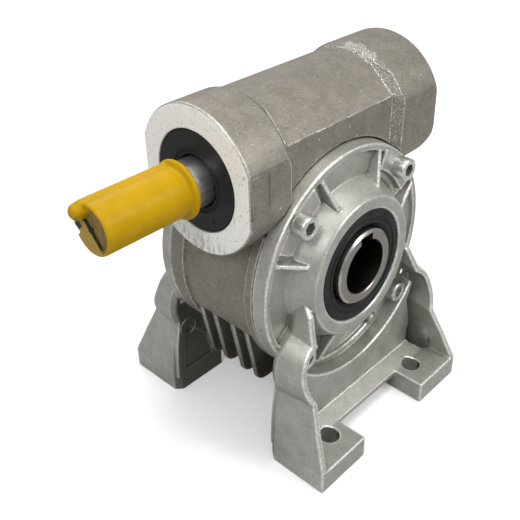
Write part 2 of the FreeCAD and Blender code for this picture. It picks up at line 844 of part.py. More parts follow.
def output_bearings():
    pieces = []
    for name, side in (("front", -1), ("rear", 1)):
        start, end = side * output_shoulder, side * d.bearing_reach
        pieces.append(ring(f"output_bearing_{name}", "output", start, end,
                           d.output_shaft_radius + d.fit_gap, d.output_bearing_radius))
    return pieces


def worm_bearings():
    pieces = []
    for name, start in (("front", front_bearing_start), ("rear", rear_shoulder)):
        pieces.append(ring(f"worm_bearing_{name}", "worm", start, start + d.worm_bearing_width,
                           d.worm_seat_radius + d.fit_gap, d.worm_bearing_radius))
    return pieces


def output_seals():
    pieces = []
    for name, side in (("front", -1), ("rear", 1)):
        back, face = side * (output_seal_face - d.output_seal_width), side * output_seal_face
        pieces.append(ring(f"output_seal_{name}", "output", back, face,
                           d.output_shaft_radius + d.fit_gap, d.output_seal_radius))
    return pieces


def worm_seal():
    return ring("worm_seal", "worm", worm_seal_back - d.worm_seal_width, worm_seal_back,
                d.worm_seat_radius + d.fit_gap, d.worm_bearing_radius)


def rear_closing_cap():
    end = rear_cap_start + d.worm_seal_width
    return turned("rear_closing_cap", "worm", [
        (rear_cap_start, 0),
        (rear_cap_start, d.worm_bearing_radius),
        (end, d.worm_bearing_radius),
        (end, 0),
    ])


def retaining_rings():
    """Two open spring rings in the grooves of the worm bore, with their openings at the bottom."""
    pieces = []
    outer = d.worm_bearing_radius + d.retaining_ring_bite
    inner = d.worm_bearing_radius - d.retaining_ring_depth
    first, last = 270 - d.retaining_ring_half_gap, 270 + d.retaining_ring_half_gap
    for name, start in (("front", front_ring_start), ("rear", rear_ring_start)):
        body = new_body(f"retaining_ring_{name}")
        sketch = new_sketch(body, f"{name}_ring_outline", "YZ_Plane", start, d.centre_distance)
        outline(sketch, [
            (around(inner, 90), around(inner, first)),
            around(outer, first),
            (around(outer, 90), around(outer, last)),
            around(inner, last),
        ])
        pad(body, f"{name}_ring", sketch, d.retaining_ring_width)
        pieces.append(body)
    return pieces


# Worm shaft: journal, seal seat, shoulders and a one-start thread

def worm_shaft():
    seat, shoulder, bevel = d.worm_seat_radius, d.worm_shoulder_radius, d.shaft_bevel
    thread_root = d.worm_pitch_radius - d.module_axial * (1 + d.root_clearance)
    thread_half = pitch * d.thread_turns / 2 + pitch / 2
    body = turned("worm_shaft", "worm", [
        (journal_end, 0),
        (journal_end, d.journal_radius - bevel),
        (journal_end + bevel, d.journal_radius),
        (-d.journal_start, d.journal_radius),
        (-d.journal_start, seat),
        (front_shoulder, seat),
        (front_shoulder, shoulder),
        (-(thread_half + d.worm_relief_length), shoulder),
        (-thread_half, thread_root),
        (thread_half, thread_root),
        (thread_half + d.worm_relief_length, shoulder),
        (rear_shoulder, shoulder),
        (rear_shoulder, seat),
        (rear_bearing_end, seat),
        (rear_bearing_end, 0),
    ])

    slope = math.tan(math.radians(d.pressure_angle.value))
    slope = Size(slope, f"tan({d.pressure_angle.text})")
    half = pitch / 4 - d.tooth_play / 4
    tip, base = d.worm_pitch_radius + d.module_axial, thread_root - d.join_overlap / 2
    start = -pitch * d.thread_turns / 2
    thread = new_sketch(body, "thread_section", "XZ_Plane", rise=d.centre_distance)
    wide = half + slope * (d.worm_pitch_radius - base)
    narrow = half - slope * d.module_axial
    outline(thread, [
        (start - wide, -base),
        (start - narrow, -tip),
        (start + narrow, -tip),
        (start + wide, -base),
    ])
    feature(body, "AdditiveHelix", "thread", thread, ReferenceAxis=(thread, ["H_Axis"]),
            Mode="pitch-turns-angle", Pitch=pitch, Turns=d.thread_turns)

    slot = key_sketch(body, "key_slot_outline")
    key_outline(slot, d.key_width / 2 + d.fit_gap, d.fit_gap)
    pocket(body, "key_slot", slot, d.key_height, Reversed=True)
    return body


def leaning(height):
    """A place over the worm axis in the key's leaning direction, as its Y and its Z."""
    return (height * sine(d.key_lean), d.centre_distance + height * cosine(d.key_lean))


def key_sketch(body, name):
    """A sketch on the key's bottom face, which leans back towards +Y with the key."""
    across, up = leaning(key_bottom)
    return new_sketch(body, name, "XY_Plane", up, across, tilt=-d.key_lean)


def key_outline(sketch, half, gap):
    """A key's outline with round ends, seen from above."""
    first, last = key_front - gap, key_front + d.key_length + gap
    outline(sketch, [
        (first + half, half),
        ((first, 0), (first + half, -half)),
        (last - half, -half),
        ((last, 0), (last - half, half)),
    ])


def input_key():
    body = new_body("input_key")
    sketch = key_sketch(body, "key_outline")
    key_outline(sketch, d.key_width / 2, as_size(0))
    pad(body, "key", sketch, d.key_height)
    return body


# Transport cap: a soft cup with a lip, and a ridge over the key that ends in a round lobe

def shaft_cap():
    body = new_body("shaft_cap")
    mouth = -(d.journal_start + d.seat_gap)
    inside = journal_end - d.seat_gap
    floor = inside - d.cap_floor
    rim = floor - d.cap_rim_length
    lip_end = mouth - d.cap_lip_width

    wall = new_sketch(body, "cap_profile", "XZ_Plane", rise=d.centre_distance)
    outline(wall, [
        (mouth, 0),
        (mouth, d.cap_lip_radius),
        (lip_end, d.cap_lip_radius),
        (lip_end, d.cap_radius),
        (rim, d.cap_radius),
        (rim, d.cap_radius - d.cap_rim_thickness),
        (floor, d.cap_radius - d.cap_rim_thickness),
        (floor, 0),
    ])
    revolve(body, "cap", wall)

    side, top, corner = d.cap_ridge_half_width, d.cap_ridge_top, d.cap_ridge_corner
    bend = corner - corner * cosine(45)
    ridge = new_sketch(body, "ridge_outline", "YZ_Plane", mouth, d.centre_distance, turn=-d.key_lean)
    base = d.cap_radius - d.cap_rim_thickness
    outline(ridge, [
        (-side, base),
        (side, base),
        (side, top - corner),
        ((side - bend, top - bend), (side - corner, top)),
        (-side + corner, top),
        ((-side + bend, top - bend), (-side, top - corner)),
    ])
    pad(body, "ridge", ridge, mouth - rim, Reversed=True)

    radius = d.cap_lobe_radius
    tip = rim - d.cap_lobe_reach
    across, up = leaning(top - radius)
    lobe = new_sketch(body, "lobe_profile", "XZ_Plane", -across, up)
    bend = radius * cosine(45)
    outline(lobe, [
        (tip, 0),
        ((tip + radius - bend, bend), (tip + radius, radius)),
        (floor, radius),
        (floor, 0),
    ])
    revolve(body, "lobe", lobe)

    bore = new_sketch(body, "cap_bore_circle", "YZ_Plane", mouth, d.centre_distance)
    circle(bore, (0, 0), d.journal_radius + d.cap_gap)
    pocket(body, "cap_bore", bore, mouth - inside)

    half = d.key_width / 2 + d.cap_gap
    slot_top = d.journal_radius + d.key_rise + d.cap_gap
    slot = new_sketch(body, "cap_slot_outline", "YZ_Plane", mouth, d.centre_distance, turn=-d.key_lean)
    outline(slot, [
        (-half, 0),
        (half, 0),
        (half, slot_top),
        (-half, slot_top),
    ])
    pocket(body, "cap_slot", slot, mouth - inside)
    return body


# Wheel line: hollow output shaft with its keyway, and the bronze rim with its teeth

def output_shaft():
    end, shoulder = d.output_reach, output_shoulder
    seat, middle, disc = d.output_shaft_radius, d.output_shoulder_radius, d.rim_bore_radius
    half = d.wheel_width / 2
    body = turned("output_shaft", "output", [
        (-end, d.output_bore_radius + d.shaft_bevel),
        (-end, seat - d.output_end_bevel),
        (-end + d.output_end_bevel, seat),
        (-shoulder, seat),
        (-shoulder, middle),
        (-half, middle),
        (-half, disc),
        (half, disc),
        (half, middle),
        (shoulder, middle),
        (shoulder, seat),
        (end - d.output_end_bevel, seat),
        (end, seat - d.output_end_bevel),
        (end, d.output_bore_radius + d.shaft_bevel),
        (end - d.shaft_bevel, d.output_bore_radius),
        (-end + d.shaft_bevel, d.output_bore_radius),
    ])
    keyway = new_sketch(body, "keyway_outline", "XZ_Plane")
    half_key = d.keyway_width / 2
    top = d.output_bore_radius + d.keyway_depth
    outline(keyway, [
        (-half_key, 0),
        (half_key, 0),
        (half_key, top),
        (-half_key, top),
    ])
    pocket(body, "keyway", keyway, 4 * d.output_reach, Midplane=True)
    return body


def wheel_rim():
    pitch_radius = d.module_axial * d.tooth_count / 2
    tip_radius = pitch_radius + d.module_axial
    root_radius = pitch_radius - d.module_axial * (1 + d.root_clearance)
    half = d.wheel_width / 2
    body = ring("wheel_rim", "output", -half, half, d.rim_bore_radius + d.fit_gap, tip_radius)

    # half angle of a tooth gap on three circles, from the involute of the base circle
    def involute(radius):
        base = pitch_radius * cosine(d.pressure_angle)
        ratio = min(1.0, base.value / radius.value)
        angle = math.acos(ratio)
        value = math.degrees(math.tan(angle) - angle)
        text = f"min(1; {base.text} / {radius.text})"
        return Size(value, f"((tan(acos({text})) - acos({text}) / 1 deg * pi / 180) * 180 / pi)")

    quarter = as_size(90) / d.tooth_count

    def gap_angle(radius):
        return quarter - involute(pitch_radius) + involute(radius)

    lead = d.module_axial / d.worm_pitch_radius / 2
    twist = Size(math.degrees(lead.value * half.value / pitch_radius.value),
                 f"({(lead * half / pitch_radius).text} * 180 / pi)")
    play = Size(math.degrees(d.tooth_play.value / 4 / pitch_radius.value),
                f"({(d.tooth_play / 4 / pitch_radius).text} * 180 / pi)")
    over = tip_radius + d.join_overlap / 2

    def gap_section(name, side):
        """One gap between teeth at a face of the rim, turned with the lead of the worm."""
        section = new_sketch(body, name, "XZ_Plane", side * half)
        middle = 90 + side * twist
        wide, narrow = gap_angle(tip_radius) + play, gap_angle(root_radius) + play
        outline(section, [
            around(over, middle + wide),
            around(root_radius, middle + narrow),
            around(root_radius, middle - narrow),
            around(over, middle - wide),
        ])
        return section

    first = gap_section("gap_front_section", 1)
    second = gap_section("gap_rear_section", -1)
    gap = feature(body, "SubtractiveLoft", "tooth_gap", first, Sections=[second], Ruled=True)
    polar(body, "tooth_gaps", [gap], "Y_Axis", d.tooth_count)
    return body


# Assembly

front_cover = foot_cover_front()
front_screws = cover_screws_front()
pieces = [
    housing(),
    front_cover,
    foot_cover_rear(front_cover),
    front_screws,
    cover_screws_rear(front_screws),
    *output_bearings(),
    *worm_bearings(),
    *output_seals(),
    worm_seal(),
    rear_closing_cap(),
    *retaining_rings(),
    worm_shaft(),
    input_key(),
    shaft_cap(),
    output_shaft(),
    wheel_rim(),
]
doc.recompute()

# Every object must have come out whole before anything is written

for item in doc.Objects:
    if "Invalid" in item.State or "Error" in item.State:
        raise RuntimeError(f"{item.Name} failed: {item.State}")
for piece in pieces:
    if piece.Shape.isNull() or not piece.Shape.isValid():
        raise RuntimeError(f"{piece.Label} has no valid shape")

os.makedirs("parts", exist_ok=True)
for piece in pieces:
    piece.Shape.exportStep(f"parts/{piece.Label}.step")
    print(f"{piece.Label}: {len(piece.Shape.Solids)} solid(s), {piece.Shape.Volume:.0f} cubic mm")
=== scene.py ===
# %% [markdown]
# # Worm gear reducer, dressed for the photograph
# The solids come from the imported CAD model, which fixes every place and size. Blender adds what a
# casting or a moulding has and a solid model lacks: rounded cast edges, skin, machining marks,
# rubber and plastic.

import math
import random

import bmesh
import bpy
import numpy as np
from mathutils import Matrix, Vector
from mathutils.bvhtree import BVHTree


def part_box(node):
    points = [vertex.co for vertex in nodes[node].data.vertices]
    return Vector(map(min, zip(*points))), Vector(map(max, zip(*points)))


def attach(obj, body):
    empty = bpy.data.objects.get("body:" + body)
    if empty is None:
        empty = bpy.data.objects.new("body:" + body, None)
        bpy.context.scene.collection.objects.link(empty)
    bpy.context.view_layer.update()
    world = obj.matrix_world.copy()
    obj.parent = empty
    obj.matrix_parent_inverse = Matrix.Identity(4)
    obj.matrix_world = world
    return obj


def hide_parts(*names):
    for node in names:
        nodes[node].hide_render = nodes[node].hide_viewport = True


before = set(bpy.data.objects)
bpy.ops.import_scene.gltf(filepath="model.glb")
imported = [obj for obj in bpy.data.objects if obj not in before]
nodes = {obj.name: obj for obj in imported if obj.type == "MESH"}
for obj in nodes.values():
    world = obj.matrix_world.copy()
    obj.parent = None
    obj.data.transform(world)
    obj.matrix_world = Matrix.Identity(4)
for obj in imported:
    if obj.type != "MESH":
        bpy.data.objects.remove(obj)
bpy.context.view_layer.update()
print("solids:", ", ".join(sorted(nodes)))

# %% [markdown]
# Lengths below are written in millimetres, as on a workshop drawing, and turned to metres by one
# factor. A few axes and planes are read from the solids, so that new pieces sit where the solids
# are.

# %% Units, axes and planes
MM = 0.001
worm_height = sum(corner.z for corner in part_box("worm_shaft")) / 2
floor_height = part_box("foot_cover_front")[0].z
input_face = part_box("housing")[0].x
cap_mouth_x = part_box("shaft_cap")[1].x
for what, value in (("worm axis, z", worm_height), ("floor, z", floor_height),
                    ("input face, x", input_face), ("mouth of the cap, x", cap_mouth_x)):
    print(f"{what}: {value / MM:.1f} mm")

# %% [markdown]
# ## Camera
# The camera stands to the left of the output side and looks down at about thirty degrees. Its
# place, lens and small shift were found by fitting known circles and edges of the reducer to the
# photograph.

# %% Camera
SENSOR_WIDTH, LENS = 36, 53.97
SHIFT_ACROSS, SHIFT_UP = -0.0663, -0.0695
camera_place = Vector((-226.04, -202.40, 189.87)) * MM
view_direction = Vector((0.6362, 0.5697, -0.5203))


def looking(place, direction):
    """Where something stands and how it is turned, when it looks along a direction."""
    return Matrix.Translation(place) @ direction.to_track_quat("-Z", "Y").to_matrix().to_4x4()


camera_data = bpy.data.cameras.new("camera")
camera_data.sensor_width = SENSOR_WIDTH
camera_data.lens = LENS
camera_data.shift_x = SHIFT_ACROSS
camera_data.shift_y = SHIFT_UP
camera = bpy.data.objects.new("camera", camera_data)
camera.matrix_world = looking(camera_place, view_direction)
bpy.context.scene.collection.objects.link(camera)
bpy.context.scene.camera = camera
bpy.context.scene.view_settings.view_transform = "Standard"
print("camera distance from the output axis:", round(camera_place.length / MM), "mm")

# %% [markdown]
# ## Shader maths
# A finish is easier to read as an expression than as a list of nodes and links. The class below
# wraps one output of a node. Sums and products on it add Math nodes, and every other node comes
# from one method.

# %% A signal is one output of a shader node
MIX_FIRST, MIX_SECOND, MIX_RESULT = 6, 7, 2  # the colour sockets of a Mix node


class Signal:
    def __init__(self, tree, socket=None):
        self.tree = tree
        self.socket = socket

    def node(self, kind, settings=None, inputs=None, output=0):
        """Adds a node: its settings first, then values or signals into its sockets."""
        made = self.tree.nodes.new(kind)
        for name, value in (settings or {}).items():
            setattr(made, name, value)
        for name, value in (inputs or {}).items():
            if isinstance(value, Signal):
                self.tree.links.new(value.socket, made.inputs[name])
            else:
                made.inputs[name].default_value = value
        return Signal(self.tree, made.outputs[output] if made.outputs else None)

    def output(self, name):
        """Another output of the same node."""
        return Signal(self.tree, self.socket.node.outputs[name])

    def math(self, operation, first, second=0.0):
        return self.node("ShaderNodeMath", {"operation": operation}, {0: first, 1: second})

    def __add__(self, other):
        return self.math("ADD", self, other)

    def __sub__(self, other):
        return self.math("SUBTRACT", self, other)

    def __rsub__(self, other):
        return self.math("SUBTRACT", other, self)

    def __mul__(self, other):
        return self.math("MULTIPLY", self, other)

    def __neg__(self):
        return self * -1

    def __abs__(self):
        return self.math("ABSOLUTE", self)

    __radd__ = __add__
    __rmul__ = __mul__

    def ramp(self, low, high):
        """A smooth step from 0 at low to 1 at high, or from 1 down to 0 if high is the smaller."""
        return self.node("ShaderNodeMapRange", {"interpolation_type": "SMOOTHSTEP"},
                         {"Value": self, "From Min": low, "From Max": high})

    def near(self, place, reach):
        """1 close to a place and 0 beyond its reach."""
        return abs(self - place).ramp(reach, reach * 0.6)

    def pick(self, first, second):
        """The first colour where this mask is 0 and the second where it is 1."""
        return self.node("ShaderNodeMix", {"data_type": "RGBA"},
                         {"Factor": self, MIX_FIRST: first, MIX_SECOND: second}, MIX_RESULT)


# %% [markdown]
# Every finish starts the same way: an empty material, the object's own coordinates in metres, and
# one Principled shader at the end. Whatever is the same all over a surface is set on the shader's
# own sockets. In between, noise makes the surface vary, and masks on places and directions say
# where.

# %% Starting and ending a finish
def start_finish(name):
    material = bpy.data.materials.new(name)
    material.use_nodes = True
    material.node_tree.nodes.clear()
    base = Signal(material.node_tree)
    place = base.node("ShaderNodeTexCoord", output="Object")
    return material, base, place


def end_finish(base, **inputs):
    """Joins what varies, and sets what doesn't, on one Principled shader."""
    named = {name.replace("_", " ").title().replace("Ior", "IOR"): value
             for name, value in inputs.items()}
    shader = base.node("ShaderNodeBsdfPrincipled", inputs=named)
    base.node("ShaderNodeOutputMaterial", inputs={"Surface": shader})


# %% [markdown]
# A mask needs to know where a point lies, which way the surface looks there, and a chance that
# changes from place to place. Object coordinates ride along with the piece, so a pattern stays on
# it at every pose.

# %% Places, directions and noise
def axes(base, vector):
    split = base.node("ShaderNodeSeparateXYZ", inputs={0: vector})
    return split, split.output(1), split.output(2)


def facing(base):
    """The direction in which the surface looks, axis by axis."""
    return axes(base, base.node("ShaderNodeNewGeometry", output="Normal"))


def distance(base, across, up):
    """How far a place lies from an axis, from its two distances square to that axis."""
    return base.math("SQRT", across * across + up * up)


def noise(base, place, size, detail=2.0, roughness=0.5):
    """Noise whose lumps are about one size, in metres, across."""
    return base.node("ShaderNodeTexNoise", inputs={
        "Vector": place, "Scale": 1 / size, "Detail": detail, "Roughness": roughness})


def stretched(base, place, scale, turn=(0, 0, 0)):
    return base.node("ShaderNodeMapping",
                     inputs={"Vector": place, "Scale": scale, "Rotation": turn})


def bump(base, height, depth, strength=1.0):
    return base.node("ShaderNodeBump",
                     inputs={"Height": height, "Distance": depth, "Strength": strength})


# %% [markdown]
# ## Cast aluminium
# The castings are die-cast and lightly blasted: a warm grey skin with soft mottling, fine grain
# and small pits. Its corners are darkened with painted shade, and its edges are brightened, partly
# by handling and partly as painted highlight. Where a tool has cut, the metal is brighter and
# smoother. The cut places are known planes of the part, so masks on the object's coordinates find
# them.

# %% Cast skin and machined metal
GLINT, SOOT_AND_SHADE, WORN_AND_HIGHLIGHT = (0.70, 0.68, 0.63, 1), (0.07, 0.066, 0.055, 1), (0.86, 0.85, 0.81, 1)
MILLED_DULL, MILLED_BRIGHT = (0.88, 0.87, 0.83, 1), (0.97, 0.965, 0.93, 1)
OPEN_PORE = (0.30, 0.29, 0.26, 1)
JOINT_REACH, JOINT_RADIUS = 24.5 * MM, 52.5 * MM  # where the covers meet the housing


def cast_skin_colour(base, place, dark, light, rubbed_and_highlight_share):
    """The colour, height, rubbing-and-highlight mask and grain of an as-cast surface."""
    x, y, z = axes(base, place)
    mottle = noise(base, place, 7 * MM, 6, 0.68)
    grain = noise(base, place, 0.75 * MM, 3, 0.7)
    pits = noise(base, place, 1.9 * MM, 2, 0.5).ramp(0.70, 0.76)
    edge = base.node("ShaderNodeAttribute", {"attribute_name": "edge"}, output=2)
    patchy = 0.45 + noise(base, place, 1.1 * MM, 2).ramp(0.35, 0.6) * 0.55
    # edges brightened, partly by handling and partly as painted highlight
    wear_and_highlight = edge.ramp(0.15, 0.6) * patchy * rubbed_and_highlight_share
    # painted shade in the corners
    hollow = (-edge).ramp(0.10, 0.7)
    seam = (abs(abs(y) - JOINT_REACH).ramp(0.5 * MM, 0.2 * MM)
            * distance(base, x, z).near(JOINT_RADIUS, 4 * MM))
    nicks = noise(base, stretched(base, place, (1, 5, 1), (0.4, 0.9, 0.2)), 2.6 * MM, 2, 0.6)
    colour = mottle.ramp(0.36, 0.64).pick(dark, light)
    colour = (grain.ramp(0.52, 0.72) * 0.32).pick(colour, GLINT)
    colour = (grain.ramp(0.46, 0.30) * 0.2).pick(colour, SOOT_AND_SHADE)
    colour = (pits * 0.6).pick(colour, SOOT_AND_SHADE)
    colour = (hollow * 0.55 + seam * 0.9).ramp(0, 1).pick(colour, SOOT_AND_SHADE)
    colour = wear_and_highlight.pick(colour, WORN_AND_HIGHLIGHT)
    colour = (nicks.ramp(0.70, 0.74) * 0.6).pick(colour, WORN_AND_HIGHLIGHT)
    height = mottle * 0.3 + grain * 0.4 - pits * 0.7
    return colour, height, wear_and_highlight, grain


def machined_colour(base, place):
    """Fine tool scratches with specks of opened pores."""
    scratches = noise(base, stretched(base, place, (1, 9, 1), (0.3, 0.5, 0.8)), 4 * MM, 3, 0.6)
    pores = noise(base, place, 1.3 * MM, 2, 0.6).ramp(0.62, 0.70)
    milled = scratches.ramp(0.35, 0.65).pick(MILLED_DULL, MILLED_BRIGHT)
    return (pores * 0.55).pick(milled, OPEN_PORE)


# %% [markdown]
# The housing is the darker casting. Its underside and fins are darkened with painted shade, a ramp
# near the closed end came rough and speckled out of the die, and the input face was turned flat,
# with chips at its rim and stains at the bottom. All of it could be painted by hand, but masks on
# known planes hold from every side and need no image.

# %% Housing finish
HOUSING_DARK, HOUSING_LIGHT = (0.26, 0.239, 0.204, 1), (0.315, 0.29, 0.252, 1)
ROUGH_SHADE, ROUGH_SPECK = (0.16, 0.15, 0.13, 1), (0.88, 0.86, 0.81, 1)
STAIN = (0.36, 0.35, 0.30, 1)
RAMP_START, RAMP_END, RAMP_FOOT = 32.4 * MM, 38.2 * MM, 40 * MM
INPUT_RIM = 31.2 * MM


def rough_ramp(x, y, z):
    """Masks of the rough ramp, on top of the tube and on its side."""
    ramp = (x.ramp(RAMP_START, RAMP_START + 0.6 * MM) * x.ramp(RAMP_END, RAMP_END - 0.6 * MM)
            * z.ramp(RAMP_FOOT, RAMP_FOOT + 2 * MM))
    top = ramp * y.ramp(3 * MM, 1 * MM) * y.ramp(-14.5 * MM, -13 * MM)
    return top, ramp * y.ramp(-14 * MM, -15 * MM)


def housing_metal():
    material, base, place = start_finish("cast_aluminium_housing")
    x, y, z = axes(base, place)
    look_x, _, _ = facing(base)
    skin, height, wear_and_highlight, grain = cast_skin_colour(base, place, HOUSING_DARK, HOUSING_LIGHT, 0.5)
    # painted shade: darker towards the bottom, on the underside and the fins
    skin = (z.ramp(-30 * MM, -47 * MM) * 0.6).pick(skin, SOOT_AND_SHADE)

    top, side = rough_ramp(x, y, z)
    speckle = noise(base, place, 0.5 * MM, 2, 0.6).ramp(0.48, 0.60)
    skin = (side * 0.45).pick(skin, ROUGH_SHADE)
    skin = ((top * 0.95 + side * 0.45) * speckle).pick(skin, ROUGH_SPECK)

    rim = distance(base, y, z - worm_height).ramp(INPUT_RIM - 0.8 * MM, INPUT_RIM)
    chips = rim * noise(base, place, 1.6 * MM, 2).ramp(0.50, 0.56)
    cut = (input_face + 0.25 * MM - x).ramp(0, 0.1 * MM) * (-look_x).ramp(0.8, 0.95) * (1 - chips)
    stain = noise(base, stretched(base, place, (1, 1, 0.4)), 3 * MM, 4, 0.65).ramp(0.45, 0.62)
    stain = stain * z.ramp(30 * MM, 24 * MM)
    machined = (stain * 0.6).pick(machined_colour(base, place), STAIN)

    relief = (height + (top + side) * speckle * 2) * (1 - cut * 0.9)
    end_finish(base, base_color=cut.pick(skin, machined), metallic=0.85 - cut * 0.75,
               roughness=0.46 + grain * 0.12 - wear_and_highlight * 0.08 - cut * 0.1,
               normal=bump(base, relief, 0.14 * MM, 0.8))
    return material


housing_finish = housing_metal()
print("finish:", housing_finish.name)

# %% [markdown]
# The foot castings look finer and more silvery than the housing. Their sides that look inwards
# are darkened with painted shade, which a mask of place times direction finds, and their soles are
# milled flat.

# %% Foot casting finish
FOOT_DARK, FOOT_LIGHT = (0.41, 0.405, 0.37, 1), (0.48, 0.475, 0.44, 1)


def foot_metal():
    material, base, place = start_finish("cast_aluminium_feet")
    _, y, z = axes(base, place)
    _, look_y, look_z = facing(base)
    skin, height, wear_and_highlight, grain = cast_skin_colour(base, place, FOOT_DARK, FOOT_LIGHT, 1)
    # painted shade on the sides that face inwards, towards the housing
    inward_shade = (-(y * look_y)).ramp(8 * MM, 22 * MM)
    skin = (inward_shade * 0.75).pick(skin, SOOT_AND_SHADE)
    soles = (z.ramp(floor_height + 0.25 * MM, floor_height + 0.1 * MM)
             * (-look_z).ramp(0.8, 0.95))
    colour = soles.pick(skin, machined_colour(base, place))
    end_finish(base, base_color=colour, metallic=0.7,
               roughness=0.33 + grain * 0.14 - wear_and_highlight * 0.06,
               normal=bump(base, height * (1 - soles * 0.7), 0.09 * MM, 0.8))
    return material


foot_finish = foot_metal()
print("finish:", foot_finish.name)

# %% [markdown]
# Handling polishes whatever stands proud of a casting first, and its bright colour here is partly
# that and partly painted highlight. Thin flash is bright with dull gaps, and the thicker bead along
# a ledge is bright nearly all over, so one function makes both.

# %% Flash and bead finishes
# the bright colour is partly polished metal and partly painted highlight
RUBBED_AND_HIGHLIGHT = (0.86, 0.84, 0.79, 1)
FLASH_DULL, BEAD_DULL = (0.34, 0.32, 0.28, 1), (0.62, 0.61, 0.57, 1)


def flash_metal(name, dull):
    material, base, place = start_finish(name)
    broken = noise(base, place, 0.7 * MM, 2, 0.6).ramp(0.40, 0.60)
    end_finish(base, base_color=broken.pick(dull, RUBBED_AND_HIGHLIGHT), metallic=0.8,
               roughness=0.42 + broken * 0.1, normal=bump(base, broken, 0.1 * MM, 0.6))
    return material


flash_finish = flash_metal("cast_aluminium_flash", FLASH_DULL)
bead_finish = flash_metal("cast_aluminium_bead", BEAD_DULL)
print("finishes:", flash_finish.name, bead_finish.name)

# %% [markdown]
# ## Castings
# A casting has no sharp edges: the die's corners are rounded and the melt shrinks into fillets.
# Rounding every edge of a solid with many cut-outs by a Bevel modifier tears at the corners, so a
# copy of the solid is given a skin of small voxels, which a few rounds of smoothing then melt
# together, as the metal does.

# %% Linking, placing, and applying modifiers
def link(name, mesh):
    piece = bpy.data.objects.new(name, mesh)
    bpy.context.scene.collection.objects.link(piece)
    return piece


def placed(piece, body, slot, *replaced):
    """Says what a piece rides on and which solids it stands for; the slot is not used."""
    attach(piece, body)
    if replaced:
        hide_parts(*replaced)
    piece.data.calc_loop_triangles()
    print(f"{piece.name}: {len(piece.data.loop_triangles)} triangles")
    return piece


def shade_smooth(mesh):
    for face in mesh.polygons:
        face.use_smooth = True


def applied(name, mesh, *steps):
    """A smooth-shaded copy of a mesh after modifiers, each given as (type, settings), in order."""
    rough = link(f"{name}_rough", mesh)
    for kind, settings in steps:
        modifier = rough.modifiers.new(kind, kind)
        for key, value in settings.items():
            setattr(modifier, key, value)
    worked = rough.evaluated_get(bpy.context.evaluated_depsgraph_get())
    final = bpy.data.meshes.new_from_object(worked)
    bpy.data.objects.remove(rough)
    shade_smooth(final)
    final.name = name
    final.materials.clear()
    return final


# %% [markdown]
# The edges of a casting are brightened, partly by handling and partly as painted highlight, and
# its corners are darkened with painted shade. Both follow how sharply the skin bends, so the bend
# is measured at every point of the skin and kept there as an attribute: 1 on a sharp edge, 0 on a
# flat, below 0 in a corner. The finish reads it.

# %% Edges and corners as an attribute
SHARP_BEND = 330  # the bend of a sharp edge, in radians per metre
BEND_LIMIT = 1.5


def mark_edges(mesh, rounds):
    count = len(mesh.vertices)
    place, normal = np.empty(count * 3), np.empty(count * 3)
    ends = np.empty(len(mesh.edges) * 2, dtype=np.int64)
    mesh.vertices.foreach_get("co", place)
    mesh.vertex_normals.foreach_get("vector", normal)
    mesh.edges.foreach_get("vertices", ends)
    place, normal = place.reshape(-1, 3), normal.reshape(-1, 3)
    first, last = ends.reshape(-1, 2).T
    step = place[last] - place[first]
    square = (step * step).sum(1)
    bend_first = -(step * normal[first]).sum(1) / square
    bend_last = (step * normal[last]).sum(1) / square
    both = np.concatenate([first, last])
    shares = np.bincount(both, minlength=count)
    bend = np.bincount(both, np.concatenate([bend_first, bend_last]), count) / shares
    bend = np.clip(bend / SHARP_BEND, -BEND_LIMIT, BEND_LIMIT)
    for _ in range(rounds):
        around = np.bincount(both, np.concatenate([bend[last], bend[first]]), count) / shares
        bend = (bend + around) / 2
    mesh.attributes.new("edge", "FLOAT", "POINT").data.foreach_set("value", bend)
    print(f"{mesh.name}: bend from {bend.min():.2f} to {bend.max():.2f},",
          f"{np.mean(bend > 0.3):.0%} edge")


# %% [markdown]
# Three solids are dressed in this way. The housing keeps crisper edges than the feet, whose legs
# and lips are rounder in the photograph, so the feet are smoothed for longer.

# %% Castings
VOXEL = 0.45 * MM
MERGE_REACH = 0.001 * MM
CASTINGS = {  # piece, finish, share of triangles kept, rounds of smoothing and of averaging
    "housing": ("housing_casting", housing_finish, 0.2, 3, 2),
    "foot_cover_front": ("foot_casting_front", foot_finish, 0.25, 7, 4),
    "foot_cover_rear": ("foot_casting_rear", foot_finish, 0.25, 7, 4),
}


def casting(node, name, finish, kept_share, melting, rounds):
    """Stands for a cast solid, with its edges melted round."""
    copy = bmesh.new()
    copy.from_mesh(nodes[node].data)
    bmesh.ops.remove_doubles(copy, verts=copy.verts, dist=MERGE_REACH)
    mesh = bpy.data.meshes.new(name)
    copy.to_mesh(mesh)
    copy.free()
    final = applied(name, mesh, ("REMESH", {"mode": "VOXEL", "voxel_size": VOXEL}),
                    ("SMOOTH", {"factor": 0.5, "iterations": melting}),
                    ("DECIMATE", {"ratio": kept_share}))
    final.materials.append(finish)
    mark_edges(final, rounds)
    return placed(link(name, final), "case", "cast_aluminium", node)


castings = {node: casting(node, *plan) for node, plan in CASTINGS.items()}

# %% [markdown]
# A die leaves thin raised lines of flash where its parts meet. They are thinner than a voxel, so
# they are laid on the finished skin: rays find points on it, and a wavering thread of metal runs
# through them.

# %% Points on the housing's skin
RAY_REACH = 60  # mm, beyond every point of the skin
skin = bmesh.new()
skin.from_mesh(castings["housing"].data)
skin_surface = BVHTree.FromBMesh(skin)
print("faces that the rays can hit:", len(skin.faces))
skin.free()


def on_skin(place, out):
    hit, _, _, _ = skin_surface.ray_cast(place + out * RAY_REACH * MM, -out)
    return hit


def on_tube(along, angle):
    """A point of the tube's skin, at a place along X and an angle from the top towards -Y."""
    out = Vector((0, -math.sin(math.radians(angle)), math.cos(math.radians(angle))))
    return on_skin(Vector((along * MM, 0, worm_height)), out)


